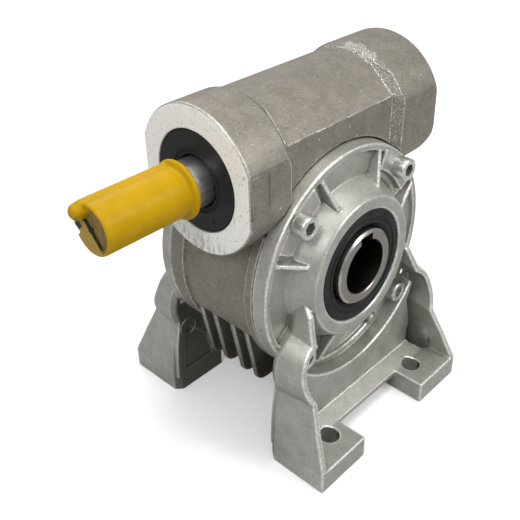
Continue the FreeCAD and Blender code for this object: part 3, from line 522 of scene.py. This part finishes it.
def on_drum(across, angle):
    """A point of the drum's skin, at a place along Y and an angle from -X downwards."""
    out = Vector((-math.cos(math.radians(angle)), 0, -math.sin(math.radians(angle))))
    return on_skin(Vector((0, across * MM, 0)), out)


def path(stations, gap=0.9):
    """Stations between given ones, so that neighbours are never further apart than the gap."""
    filled = []
    for start, end in zip(stations, stations[1:]):
        count = max(1, round(math.dist(start, end) / gap))
        filled += [tuple(a + (b - a) * number / count for a, b in zip(start, end))
                   for number in range(count)]
    return [*filled, stations[-1]]


# %% [markdown]
# A bevelled curve is the simplest thread: each of its knots has a radius of its own. One seeded
# chance draws the radii and the gaps, so every run gives the same threads.

# %% Threads
SWITCH_CHANCE = 0.4
THINNEST, THICKEST, SUNK = 0.75, 1.1, 0.05  # shares of a thread's radius
chance = random.Random(7)


def thread(points, radius, finish, name, gaps=0.0, closed=False):
    """A thread of metal along a path. It wavers in thickness, and a share of it is sunk."""
    curve = bpy.data.curves.new(name, "CURVE")
    curve.dimensions = "3D"
    curve.bevel_depth = radius
    curve.bevel_resolution = 1
    curve.use_fill_caps = True
    line = curve.splines.new("POLY")
    line.points.add(len(points) - 1)
    shown = True
    for knot, place in zip(line.points, points):
        if chance.random() < SWITCH_CHANCE * (gaps if shown else 1 - gaps):
            shown = not shown
        knot.co = (*place, 1)
        knot.radius = chance.uniform(THINNEST, THICKEST) if shown else SUNK
    line.use_cyclic_u = closed
    holder = bpy.data.objects.new(name, curve)
    mesh = bpy.data.meshes.new_from_object(holder)
    bpy.data.objects.remove(holder)
    mesh.materials.clear()
    mesh.materials.append(finish)
    shade_smooth(mesh)
    placed(link(name, mesh), "case", "cast_aluminium")


# %% [markdown]
# Five lines lie on the tube, most of them at the step and the ramp near the closed end, and one
# lies round the drum near each of its ends. Their stations are a few places on the skin, and the
# rays find the height of every knot between them.

# %% Flash lines
FLASH_LINES = {  # stations of (mm along X, degrees from the top), radius in mm, share of gaps
    "flash_line_step": ([(31.6, -58), (31.6, 26), (33.2, 28), (33.2, 60), (33.2, 106)], 0.34, 0.0),
    "flash_line_ramp": ([(34.4, 28), (37.6, 44), (37.6, 61), (38.6, 67), (38.2, 104)], 0.32, 0.0),
    "flash_line_rear": ([(38.6, -4), (38.6, 22), (34.4, 28)], 0.26, 0.3),
    "flash_line_facet": ([(-33, 60.8), (33, 60.8)], 0.22, 0.45),
    "flash_line_front": ([(-31.8, 28), (-32.6, 50), (-34, 62)], 0.26, 0.15),
}
FLASH_RINGS = {  # mm along Y, the share of gaps
    "flash_ring_front": (-19.8, 0.5),
    "flash_ring_rear": (16.7, 0.0),
}
RING_FROM, RING_TO, RING_THICKNESS = -22, 70, 0.2
for name, (stations, radius, gaps) in FLASH_LINES.items():
    points = [on_tube(*station) for station in path(stations, 1.1)]
    thread(points, radius * MM, flash_finish, name, gaps)
for name, (across, gaps) in FLASH_RINGS.items():
    points = [on_drum(*station) for station in path([(across, RING_FROM), (across, RING_TO)])]
    thread(points, RING_THICKNESS * MM, flash_finish, name, gaps)

# %% [markdown]
# The ledge between the legs of each foot casting has a rounded bead along its upper edge. It is
# hardly wider than a few voxels, so it is a thread as well.

# %% Beads on the ledges
BEAD_REACH, BEAD_OUT, BEAD_RISE, BEAD_THICKNESS = 41, 39.2, 14.6, 0.7
for name, side in (("ledge_bead_front", -1), ("ledge_bead_rear", 1)):
    ends = [(x, side * BEAD_OUT, floor_height / MM + BEAD_RISE) for x in (-BEAD_REACH, BEAD_REACH)]
    points = [Vector(place) * MM for place in path(ends, 1.3)]
    thread(points, BEAD_THICKNESS * MM, bead_finish, name)

# %% [markdown]
# A plain raised frame stands on the collar, and a plain ring on the inner face of the far foot.
# Each is a thread whose ends are joined.

# %% Blank frame and ring
FRAME_LEFT, FRAME_RIGHT, FRAME_BOTTOM, FRAME_TOP = -55.5, -46, 43, 59.5
COLLAR_SIDE, FRAME_THICKNESS = -29, 0.4
corners = [(FRAME_LEFT, FRAME_TOP), (FRAME_RIGHT, FRAME_TOP),
           (FRAME_RIGHT, FRAME_BOTTOM), (FRAME_LEFT, FRAME_BOTTOM)]
points = [Vector((x * MM, COLLAR_SIDE * MM, z * MM)) for x, z in corners]
thread(points, FRAME_THICKNESS * MM, housing_finish, "blank_frame", closed=True)

RING_RADIUS, RING_BAR, RING_KNOTS = 4.6, 0.45, 24
ring_place = Vector((-42, 30.4, -45.5)) * MM
turns = [math.radians(number * 360 / RING_KNOTS) for number in range(RING_KNOTS)]
points = [ring_place + Vector((math.cos(turn), 0, math.sin(turn))) * RING_RADIUS * MM
          for turn in turns]
thread(points, RING_BAR * MM, foot_finish, "blank_ring", closed=True)

# %% [markdown]
# ## Steel, rubber, plastic and bronze
# Shafts, bearings and screws are turned on a lathe, which leaves fine rings across the axis, and
# handling leaves brighter clouds. Noise squeezed along the axis gives the rings for all of them.
# On the ground input shaft the clouds are drawn out along the axis, into light and dark bands of
# painted reflection.

# %% Turned and plated metals
X_RINGS, Y_RINGS = (1, 0.05, 0.05), (0.05, 1, 0.05)
EVEN, X_REFLECTION_BANDS = (1, 1, 1), (0.1, 1, 1)


def turned_metal(name, colour, worn_and_reflection, roughness, line, bands=EVEN):
    material, base, place = start_finish(name)
    rings = noise(base, stretched(base, place, line), 0.5 * MM, 2, 0.6)
    cloud = noise(base, stretched(base, place, bands), 6 * MM, 3, 0.6)
    tone = (cloud * 0.6 + rings * 0.4).ramp(0.35, 0.65).pick(colour, worn_and_reflection)
    end_finish(base, base_color=tone, metallic=1.0, roughness=roughness + rings * 0.12,
               normal=bump(base, rings, 0.02 * MM, 0.5))
    print("finish:", name)
    return material


# painted reflections: light and dark bands along the shaft
ground_steel = turned_metal(
    "ground_steel", (0.56, 0.57, 0.58, 1), (0.97, 0.97, 0.96, 1), 0.27, X_RINGS, X_REFLECTION_BANDS)
bearing_steel = turned_metal(
    "bearing_steel", (0.48, 0.48, 0.50, 1), (0.62, 0.62, 0.64, 1), 0.18, Y_RINGS)
spring_steel = turned_metal(
    "spring_steel", (0.20, 0.20, 0.21, 1), (0.32, 0.32, 0.33, 1), 0.35, X_RINGS)
zinc = turned_metal(
    "zinc_plate", (0.60, 0.62, 0.60, 1), (0.80, 0.81, 0.79, 1), 0.28, Y_RINGS)
# painted shade: a darker metal for the inside of the sockets
socket_shade_metal = turned_metal(
    "socket_shade_metal", (0.30, 0.30, 0.285, 1), (0.62, 0.62, 0.60, 1), 0.38, Y_RINGS)
bronze = turned_metal(
    "bronze", (0.52, 0.33, 0.13, 1), (0.66, 0.46, 0.22, 1), 0.3, Y_RINGS)

# %% [markdown]
# The hollow output shaft is faced at its ends, where the tool leaves circles about the axis, and
# its bore is painted near black as painted shade. The distance from the axis is all that both need.

# %% Output shaft
TURNED_DULL, TURNED_LIGHT = (0.40, 0.39, 0.37, 1), (0.55, 0.54, 0.51, 1)
FACED_DARK, BORE_SHADE = (0.27, 0.25, 0.215, 1), (0.045, 0.042, 0.036, 1)
BORE_RADIUS = 12.5 * MM
CIRCLES_PER_METRE = 2500


def hub_metal():
    material, base, place = start_finish("hub_steel")
    x, _, z = axes(base, place)
    _, look_y, _ = facing(base)
    radius = distance(base, x, z)
    circles = base.node("ShaderNodeTexNoise", {"noise_dimensions": "1D"},
                        {"W": radius, "Scale": CIRCLES_PER_METRE, "Detail": 2})
    cloud = noise(base, place, 5 * MM, 4, 0.65)
    bore = radius.ramp(BORE_RADIUS + 0.5 * MM, BORE_RADIUS + 0.2 * MM)
    tone = (cloud * 0.7 + circles * 0.3).ramp(0.35, 0.65).pick(TURNED_DULL, TURNED_LIGHT)
    tone = (abs(look_y).ramp(0.8, 0.95) * 0.85).pick(tone, FACED_DARK)
    # painted shade inside the bore
    tone = bore.pick(tone, BORE_SHADE)
    end_finish(base, base_color=tone, metallic=1.0, roughness=0.24 + circles * 0.1 + bore * 0.15,
               normal=bump(base, circles, 0.02 * MM, 0.5))
    return material


hub_steel = hub_metal()
print("finish:", hub_steel.name)

# %% [markdown]
# The seals are black rubber. A plain black would look like a hole in the picture: it takes fine
# grain and a little dust to catch the light.

# %% Rubber
RUBBER_BLACK, RUBBER_DUST = (0.006, 0.008, 0.008, 1), (0.022, 0.027, 0.027, 1)


def seal_rubber():
    material, base, place = start_finish("seal_rubber")
    grain = noise(base, place, 0.7 * MM, 3, 0.6)
    dust = noise(base, place, 9 * MM, 4, 0.7).ramp(0.5, 0.75)
    end_finish(base, base_color=(dust * 0.3).pick(RUBBER_BLACK, RUBBER_DUST),
               roughness=0.40 + grain * 0.15, specular_ior_level=0.3,
               normal=bump(base, grain, 0.04 * MM, 0.5))
    return material


rubber = seal_rubber()
print("finish:", rubber.name)

# %% [markdown]
# The transport cap is soft yellow plastic that lets a little light in. Its end is soiled, and the
# flap that has sunk in is darker still with painted shade. The slit, a small hole and a torn corner
# are painted dark as painted shade, and the hole is only painted. The ridge leans, so the masks are
# written in the cap's own directions, up through its ridge and aside from it.

# %% Yellow soft plastic
LEAN = math.radians(40)  # how far the ridge leans from the top
YELLOW_DEEP, YELLOW = (0.47, 0.27, 0.0, 1), (0.52, 0.305, 0.0, 1)
FLAP_SOIL, SUNK_SOIL_AND_SHADE = (0.36, 0.255, 0.05, 1), (0.16, 0.12, 0.04, 1)
OPENING_SHADE = (0.02, 0.018, 0.012, 1)
SLIT_PLACE, SLIT_MIDDLE, SLIT_REACH = -0.65 * MM, -0.6 * MM, 9.5 * MM
HOLE_ASIDE, HOLE_UP, HOLE_RADIUS = -0.4 * MM, 0.2 * MM, 0.8 * MM
TORN_ASIDE, TORN_UP = -6 * MM, 4.2 * MM
END_X, OPENINGS_X = cap_mouth_x - 36.6 * MM, cap_mouth_x - 34.8 * MM


def cap_soil(base, x, aside, up, look_x):
    """A mask of the soiled end of the cap, inside its rim and below its ridge."""
    inside_rim = distance(base, aside, up).ramp(9.6 * MM, 8.7 * MM) * up.ramp(6.6 * MM, 5.6 * MM)
    return x.ramp(END_X, END_X - 0.6 * MM) * (-look_x).ramp(0.3, 0.8) * inside_rim


def cap_openings(base, x, aside, up, cloud):
    """A mask of painted shade in the slit, the hole and the torn corner."""
    slit = ((aside + (cloud - 0.5) * (0.7 * MM)).near(SLIT_PLACE, 0.5 * MM)
            * up.near(SLIT_MIDDLE, SLIT_REACH))
    hole = distance(base, aside - HOLE_ASIDE, up - HOLE_UP).ramp(HOLE_RADIUS * 1.5, HOLE_RADIUS)
    torn = aside.near(TORN_ASIDE, 2.4 * MM) * up.near(TORN_UP, 1.6 * MM)
    return (slit + hole + torn).ramp(0, 0.9) * x.ramp(OPENINGS_X, OPENINGS_X - 0.6 * MM)


def cap_plastic():
    material, base, place = start_finish("yellow_plastic")
    x, y, z = axes(base, place)
    look_x, _, _ = facing(base)
    rise = z - worm_height
    aside = rise * math.sin(LEAN) - y * math.cos(LEAN)
    up = rise * math.cos(LEAN) + y * math.sin(LEAN)
    cloud = noise(base, place, 8 * MM, 3, 0.6)
    grain = noise(base, place, 0.8 * MM, 2, 0.5)
    patchy = 0.7 + noise(base, place, 2.5 * MM, 3).ramp(0.35, 0.6) * 0.3
    # the sunk flap gets painted shade on top of its soil
    soil_and_shade = aside.ramp(-0.7 * MM, -0.4 * MM).pick(FLAP_SOIL, SUNK_SOIL_AND_SHADE)
    tone = cloud.ramp(0.3, 0.7).pick(YELLOW_DEEP, YELLOW)
    tone = (cap_soil(base, x, aside, up, look_x) * patchy).pick(tone, soil_and_shade)
    # painted shade in the openings
    tone = (cap_openings(base, x, aside, up, cloud) * 0.95).pick(tone, OPENING_SHADE)
    end_finish(base, base_color=tone, roughness=0.36 + grain * 0.08, specular_ior_level=0.14,
               subsurface_weight=0.08, subsurface_radius=(0.004, 0.002, 0.0005),
               normal=bump(base, cloud * 0.7 + grain * 0.3, 0.15 * MM, 0.4))
    return material


yellow = cap_plastic()
print("finish:", yellow.name)

# %% [markdown]
# ## Turned pieces
# Seals and screws are turned shapes, so each starts as a profile that is spun about its axis.

# %% Spinning a profile
CRISP_ANGLE = math.radians(35)


def spun(shape, profile, foot, outward, count=96):
    """Spins a profile of (height along the outward direction, radius), in mm, about an axis."""
    foot, outward = Vector(foot), Vector(outward)
    across = outward.orthogonal().normalized()
    verts = [shape.verts.new(foot + outward * height * MM + across * radius * MM)
             for height, radius in profile]
    edges = [shape.edges.new(pair) for pair in zip(verts, verts[1:])]
    bmesh.ops.spin(shape, geom=verts + edges, cent=foot, axis=outward, angle=math.tau,
                   steps=count, use_merge=True, use_duplicate=False)
    bmesh.ops.remove_doubles(shape, verts=shape.verts, dist=MERGE_REACH)


def finished(shape, name, body, slot, replaced, *finishes):
    """Turns a bmesh into a piece with crisp edges."""
    mesh = bpy.data.meshes.new(name)
    shape.to_mesh(mesh)
    shape.free()
    shade_smooth(mesh)
    mesh.set_sharp_from_angle(angle=CRISP_ANGLE)
    for finish in finishes:
        mesh.materials.append(finish)
    placed(link(name, mesh), body, slot, replaced)


# %% [markdown]
# A shaft seal has a flat rubber face, a shallow groove, and a lip that dips towards the shaft.
# Small raised bars, as moulds leave, stand on the face.

# %% Shaft seals
OUTPUT_SEAL = [(-7, 17.6), (-7, 26), (-0.5, 26), (0, 25.5), (0, 22.7), (-0.5, 22.3), (-0.5, 21.5),
               (-0.1, 21.1), (-0.1, 20.0), (-0.9, 19.4), (-1.3, 18.5), (-2.2, 17.7), (-2.6, 17.6),
               (-7, 17.6)]
WORM_SEAL = [(-7, 10.1), (-7, 21), (-0.5, 21), (0, 20.5), (0, 13.2), (-0.6, 12.7), (-0.6, 12.2),
             (-0.1, 11.8), (-0.3, 11.2), (-1.6, 10.3), (-2.2, 10.1), (-7, 10.1)]
OUTPUT_BAR_RADIUS, OUTPUT_BAR_ANGLES = 24.2, (78, 82, 50, 54, 200, 204, 290)
OUTPUT_BAR = (0.35, 0.3, 1.8)
WORM_BAR_RADIUS, WORM_BARS = 17, ((52, 3.2), (150, 1.6), (260, 1.6))  # (degrees, length in mm)


def bar(shape, centre, radius, size, angle, axis):
    """A bar above a seal's centre, turned about the seal's axis."""
    made = bmesh.ops.create_cube(shape, size=1)["verts"]
    bmesh.ops.scale(shape, verts=made, vec=Vector(size) * MM)
    bmesh.ops.translate(shape, verts=made, vec=centre + Vector((0, 0, radius * MM)))
    turn = Matrix.Rotation(math.radians(angle), 3, axis)
    bmesh.ops.rotate(shape, verts=made, cent=centre, matrix=turn)


def output_seal(name, side):
    centre = Vector((0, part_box(name)[0 if side < 0 else 1].y, 0))
    shape = bmesh.new()
    spun(shape, OUTPUT_SEAL, centre, (0, side, 0))
    for angle in OUTPUT_BAR_ANGLES:
        bar(shape, centre, OUTPUT_BAR_RADIUS, OUTPUT_BAR, 90 - angle, "Y")
    bmesh.ops.recalc_face_normals(shape, faces=shape.faces)
    finished(shape, f"{name}_piece", "case", "seal_rubber", name, rubber)


def worm_seal():
    centre = Vector((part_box("worm_seal")[0].x, 0, worm_height))
    shape = bmesh.new()
    spun(shape, WORM_SEAL, centre, (-1, 0, 0))
    for angle, length in WORM_BARS:
        bar(shape, centre, WORM_BAR_RADIUS, (0.4, 0.7, length), angle, "X")
    bmesh.ops.recalc_face_normals(shape, faces=shape.faces)
    finished(shape, "worm_seal_piece", "case", "seal_rubber", "worm_seal", rubber)


output_seal("output_seal_front", -1)
output_seal("output_seal_rear", 1)
worm_seal()

# %% [markdown]
# A socket-head screw has a rounded rim on its head, a countersunk mouth and a hexagon that goes
# in deep. The spun head ends in an open circle, which is drawn in to a hexagon, sunk and closed.

# %% Socket-head screws
SCREW = [(-16, 0), (-16, 2.5), (-15.4, 3), (0, 3), (0, 4.9), (0.15, 5), (5.3, 5), (5.7, 4.85),
         (5.92, 4.6), (6, 4.3), (6, 3.1)]
SCREW_SEAT, HEAD_RADIUS, HEAD_HEIGHT = 32, 5, 6
HEX_APOTHEM, HEX_DEPTH, COUNTERSINK = 2.5, 3.6, 0.25
SOCKET_FLOOR = HEAD_HEIGHT - HEX_DEPTH


def draw_in(shape, edges, centre, outward, height):
    """Extrudes a ring of edges to a hexagon at a height along the axis, and gives the new ring."""
    made = bmesh.ops.extrude_edge_only(shape, edges=edges)["geom"]
    across = outward.orthogonal().normalized()
    for vert in (part for part in made if isinstance(part, bmesh.types.BMVert)):
        arm = vert.co - centre
        arm -= outward * arm.dot(outward)
        turn = arm.angle(across) % math.radians(60) - math.radians(30)
        vert.co = (centre + outward * height * MM
                   + arm.normalized() * HEX_APOTHEM * MM / math.cos(turn))
    return [part for part in made if isinstance(part, bmesh.types.BMEdge)]


def one_screw(foot, outward):
    """A screw whose socket has the second material, a darker metal as painted shade."""
    shape = bmesh.new()
    spun(shape, SCREW, foot, outward, 48)
    rim = [edge for edge in shape.edges
           if edge.is_boundary and (edge.verts[0].co - foot).dot(outward) > SOCKET_FLOOR * MM]
    rim = draw_in(shape, rim, foot, outward, HEAD_HEIGHT - COUNTERSINK)
    outer = set(shape.faces)
    rim = draw_in(shape, rim, foot, outward, SOCKET_FLOOR)
    bmesh.ops.contextual_create(shape, geom=rim)
    for face in set(shape.faces) - outer:
        face.material_index = 1
    bmesh.ops.recalc_face_normals(shape, faces=shape.faces)
    mesh = bpy.data.meshes.new("screw")
    shape.to_mesh(mesh)
    shape.free()
    return mesh


def cover_screws(node, side):
    """The four screws of a cover, at the corners of their solids' box."""
    low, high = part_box(node)
    shape = bmesh.new()
    for x in (low.x + HEAD_RADIUS * MM, high.x - HEAD_RADIUS * MM):
        for z in (low.z + HEAD_RADIUS * MM, high.z - HEAD_RADIUS * MM):
            foot = Vector((x, side * SCREW_SEAT * MM, z))
            shape.from_mesh(one_screw(foot, Vector((0, side, 0))))
    finished(shape, f"{node}_piece", "case", "zinc_screws", node, zinc, socket_shade_metal)


cover_screws("cover_screws_front", -1)
cover_screws("cover_screws_rear", 1)

# %% [markdown]
# ## Transport cap
# The cap is dip-moulded from soft plastic. It has a rolled lip, a ridge over the shaft's key that
# runs on into a round lobe, and an end that was slit: one flap stands level with the rim, the
# other has sunk in. The outside is put together from spun and square solids that voxels melt into
# one skin. The inside, the slit and a torn corner of the rim are cut out afterwards, so that they
# stay crisp.

# %% Shapes of the cap
# profiles are in mm: along the cap's axis from its mouth, and out from an axis
CAP_OUTSIDE = [(0, 0), (0, 11.4), (0.3, 12.0), (1.0, 12.2), (1.9, 12.0), (2.4, 11.1), (2.9, 10.1),
               (3.6, 9.85), (4.6, 10.0), (6, 10.2), (38.8, 10.2), (39.8, 10.0), (40.2, 9.4),
               (40.1, 8.9), (39.6, 8.6), (39.0, 8.4), (38.9, 0)]
CAP_INSIDE = [(-1, 0), (-1, 8.4), (36.0, 8.4), (36.0, 0)]
CAP_FLAP = [(36.5, 0), (36.5, 9.3), (39.6, 9.3), (40.0, 8.4), (40.0, 0)]
CAP_LOBE = [(30, 0), (30, 3.2), (41, 3.3), (42.7, 2.8), (43.7, 1.7), (44.0, 0)]
LOBE_RISE, FLAP_EDGE = 8.0, 0.7
# blocks are in mm: two corners, each aside, up and along the axis
RIDGE, RIDGE_ROUNDING = ((-3.75, 5.2, 0.5), (3.75, 11.3, 41.4)), 1.7
KEY_SLOT = ((-2.9, 7.0, -1), (2.9, 10.3, 33))
SLIT = ((-0.85, -6.6, 35), (-0.45, 6.4, 42))
TORN_CORNER, TORN_LEAN = ((-12, 1.6, 37.4), (-7.6, 6.8, 42)), 0.1
CAP_VOXEL = 0.35 * MM
cap_mouth = Vector((cap_mouth_x, 0, worm_height))
cap_way = Vector((-1, 0, 0))
cap_up = Vector((0, math.sin(LEAN), math.cos(LEAN)))
cap_aside = cap_up.cross(cap_way)
print("cap mouth at", [round(value / MM, 1) for value in cap_mouth], "mm")

# %% [markdown]
# Square parts and cuts are easiest to give as two corners in the cap's own directions. A matrix
# with those directions as its columns then takes them to their place.

# %% Blocks and cutters of the cap
def cap_block(shape, corners, lean=0.0, rounding=0.0):
    """A block in the cap's directions, turned in its own middle and rounded where it is asked."""
    low, high = (Vector(corner) for corner in corners)
    made = bmesh.ops.create_cube(shape, size=1)["verts"]
    bmesh.ops.scale(shape, verts=made, vec=(high - low) * MM)
    if rounding:
        edges = {edge for vert in made for edge in vert.link_edges}
        rest = set(shape.verts) - set(made)
        bmesh.ops.bevel(shape, geom=list(edges), offset=rounding * MM, segments=3, profile=0.5,
                        affect="EDGES", material=-1)
        made = [vert for vert in shape.verts if vert not in rest]
    bmesh.ops.rotate(shape, verts=made, cent=(0, 0, 0), matrix=Matrix.Rotation(lean, 3, "Z"))
    bmesh.ops.translate(shape, verts=made, vec=(low + high) / 2 * MM)
    to_cap = Matrix((cap_aside, cap_up, cap_way)).transposed().to_4x4()
    to_cap.translation = cap_mouth
    bmesh.ops.transform(shape, verts=made, matrix=to_cap)


def as_mesh(name, shape):
    bmesh.ops.recalc_face_normals(shape, faces=shape.faces)
    mesh = bpy.data.meshes.new(name)
    shape.to_mesh(mesh)
    shape.free()
    return mesh


def half_flap():
    """The flap that stands level with the rim, cut off at the slit."""
    flap = bmesh.new()
    spun(flap, CAP_FLAP, cap_mouth, cap_way, 64)
    cut = bmesh.ops.bisect_plane(
        flap, geom=[*flap.verts, *flap.edges, *flap.faces], clear_outer=True,
        plane_co=cap_mouth - cap_aside * FLAP_EDGE * MM, plane_no=cap_aside)["geom_cut"]
    open_edges = [part for part in cut if isinstance(part, bmesh.types.BMEdge)]
    bmesh.ops.contextual_create(flap, geom=open_edges)
    return as_mesh("flap", flap)


# %% [markdown]
# The voxels come first and the exact cuts last, since voxels would round off the thin slit.

# %% Cap
def cap_outside():
    outside = bmesh.new()
    spun(outside, CAP_OUTSIDE, cap_mouth, cap_way)
    cap_block(outside, RIDGE, rounding=RIDGE_ROUNDING)
    spun(outside, CAP_LOBE, cap_mouth + cap_up * LOBE_RISE * MM, cap_way, 32)
    outside.from_mesh(half_flap())
    return as_mesh("cap", outside)


def cap_cutters():
    inside = bmesh.new()
    spun(inside, CAP_INSIDE, cap_mouth, cap_way, 64)
    openings = bmesh.new()
    cap_block(openings, KEY_SLOT)
    cap_block(openings, SLIT)
    cap_block(openings, TORN_CORNER, lean=TORN_LEAN)
    return [link("cutter", as_mesh("cutter", shape)) for shape in (inside, openings)]


def shaft_cap():
    outside = cap_outside()
    cutters = cap_cutters()
    mesh = applied("shaft_cap_piece", outside,
                   ("REMESH", {"mode": "VOXEL", "voxel_size": CAP_VOXEL}),
                   ("SMOOTH", {"factor": 0.5, "iterations": 5}),
                   *[("BOOLEAN", {"object": cutter, "solver": "EXACT"}) for cutter in cutters])
    for cutter in cutters:
        bpy.data.objects.remove(cutter)
    mesh.set_sharp_from_angle(angle=math.radians(50))
    mesh.materials.append(yellow)
    placed(link("shaft_cap_piece", mesh), "transport_cap", "yellow_plastic", "shaft_cap")


shaft_cap()

# %% [markdown]
# ## Solids that stay
# Shafts, bearings, rings and the wheel are right as they come from the CAD model. Their meshes
# stay as they are, and only their finishes are set.

# %% Finishes onto the solids that stay
FINISHES = {
    "worm_shaft": ground_steel,
    "input_key": ground_steel,
    "output_shaft": hub_steel,
    "wheel_rim": bronze,
    "output_bearing_front": bearing_steel,
    "output_bearing_rear": bearing_steel,
    "worm_bearing_front": bearing_steel,
    "worm_bearing_rear": bearing_steel,
    "retaining_ring_front": spring_steel,
    "retaining_ring_rear": spring_steel,
    "rear_closing_cap": rubber,
}
for node_name, finish in FINISHES.items():
    slots = nodes[node_name].data.materials
    if len(slots):
        slots[0] = finish
    else:
        slots.append(finish)
print("solids that stay:", ", ".join(sorted(FINISHES)))

# %% [markdown]
# ## Floor and light
# The photograph shows the reducer cut out on white. A pale floor under it takes the shadow, and
# rays that come straight from the camera see a little glow on top, so the floor runs into a plain
# white backdrop.

# %% Floor
FLOOR_REACH = 3.0
FLOOR_BOUNCED, FLOOR_SEEN, FLOOR_GLOW = (0.45, 0.45, 0.45, 1), (0.8, 0.8, 0.8, 1), 0.25
WHITE = (1, 1, 1, 1)


def pale_floor():
    material, base, _ = start_finish("pale_floor")
    from_camera = base.node("ShaderNodeLightPath")
    diffuse = base.node("ShaderNodeBsdfDiffuse",
                        inputs={"Color": from_camera.pick(FLOOR_BOUNCED, FLOOR_SEEN)})
    glow = base.node("ShaderNodeEmission",
                     inputs={"Color": WHITE, "Strength": from_camera * FLOOR_GLOW})
    both = base.node("ShaderNodeAddShader", inputs={0: diffuse, 1: glow})
    base.node("ShaderNodeOutputMaterial", inputs={"Surface": both})
    return material


sheet = bmesh.new()
bmesh.ops.create_grid(sheet, x_segments=1, y_segments=1, size=FLOOR_REACH)
bmesh.ops.translate(sheet, verts=sheet.verts, vec=(0, 0, floor_height))
floor_mesh = bpy.data.meshes.new("floor")
sheet.to_mesh(floor_mesh)
sheet.free()
floor_mesh.materials.append(pale_floor())
floor = link("floor", floor_mesh)
print("floor:", 2 * FLOOR_REACH, "m square")

# %% [markdown]
# Metal shows what is around it. A world that grows lighter with height gives the castings a
# bright upper side and a dark lower one, while the camera itself sees plain white.

# %% World
SKY_LOW, SKY_HIGH, SKY_RANGE, SKY_DARKEST = -0.3, 0.9, 0.5, 0.24
BLACK = (0, 0, 0, 1)
world = bpy.data.worlds.new("studio")
bpy.context.scene.world = world
world.use_nodes = True
world.node_tree.nodes.clear()
sky = Signal(world.node_tree)
_, _, height = axes(sky, sky.node("ShaderNodeTexCoord"))
level = height.ramp(SKY_LOW, SKY_HIGH) * SKY_RANGE + SKY_DARKEST
seen = sky.node("ShaderNodeLightPath").pick(level.pick(BLACK, WHITE), WHITE)
backdrop = sky.node("ShaderNodeBackground", inputs={"Color": seen})
sky.node("ShaderNodeOutputWorld", inputs={"Surface": backdrop})
print("sky level from", SKY_DARKEST, "to", SKY_DARKEST + SKY_RANGE)

# %% [markdown]
# Four large soft lamps stand where a product photographer puts them: the key at the left, one
# above, a fill in front of the output side, and one behind that draws the upper edges.

# %% Softboxes
SOFTBOXES = {  # place and side in metres, power in watts
    "key_light": ((-0.75, -0.25, 0.85), 0.3, 3.9),
    "top_light": ((0.1, -0.1, 1.1), 0.35, 3.4),
    "fill_light": ((0.3, -0.8, 0.6), 0.3, 3.6),
    "back_light": ((0.3, 0.7, 0.8), 0.4, 2),
}
for name, (place, size, power) in SOFTBOXES.items():
    data = bpy.data.lights.new(name, "AREA")
    data.size = size
    data.energy = power
    lamp = bpy.data.objects.new(name, data)
    lamp.matrix_world = looking(Vector(place), -Vector(place))
    bpy.context.scene.collection.objects.link(lamp)
    print(f"{name}: {power} W")
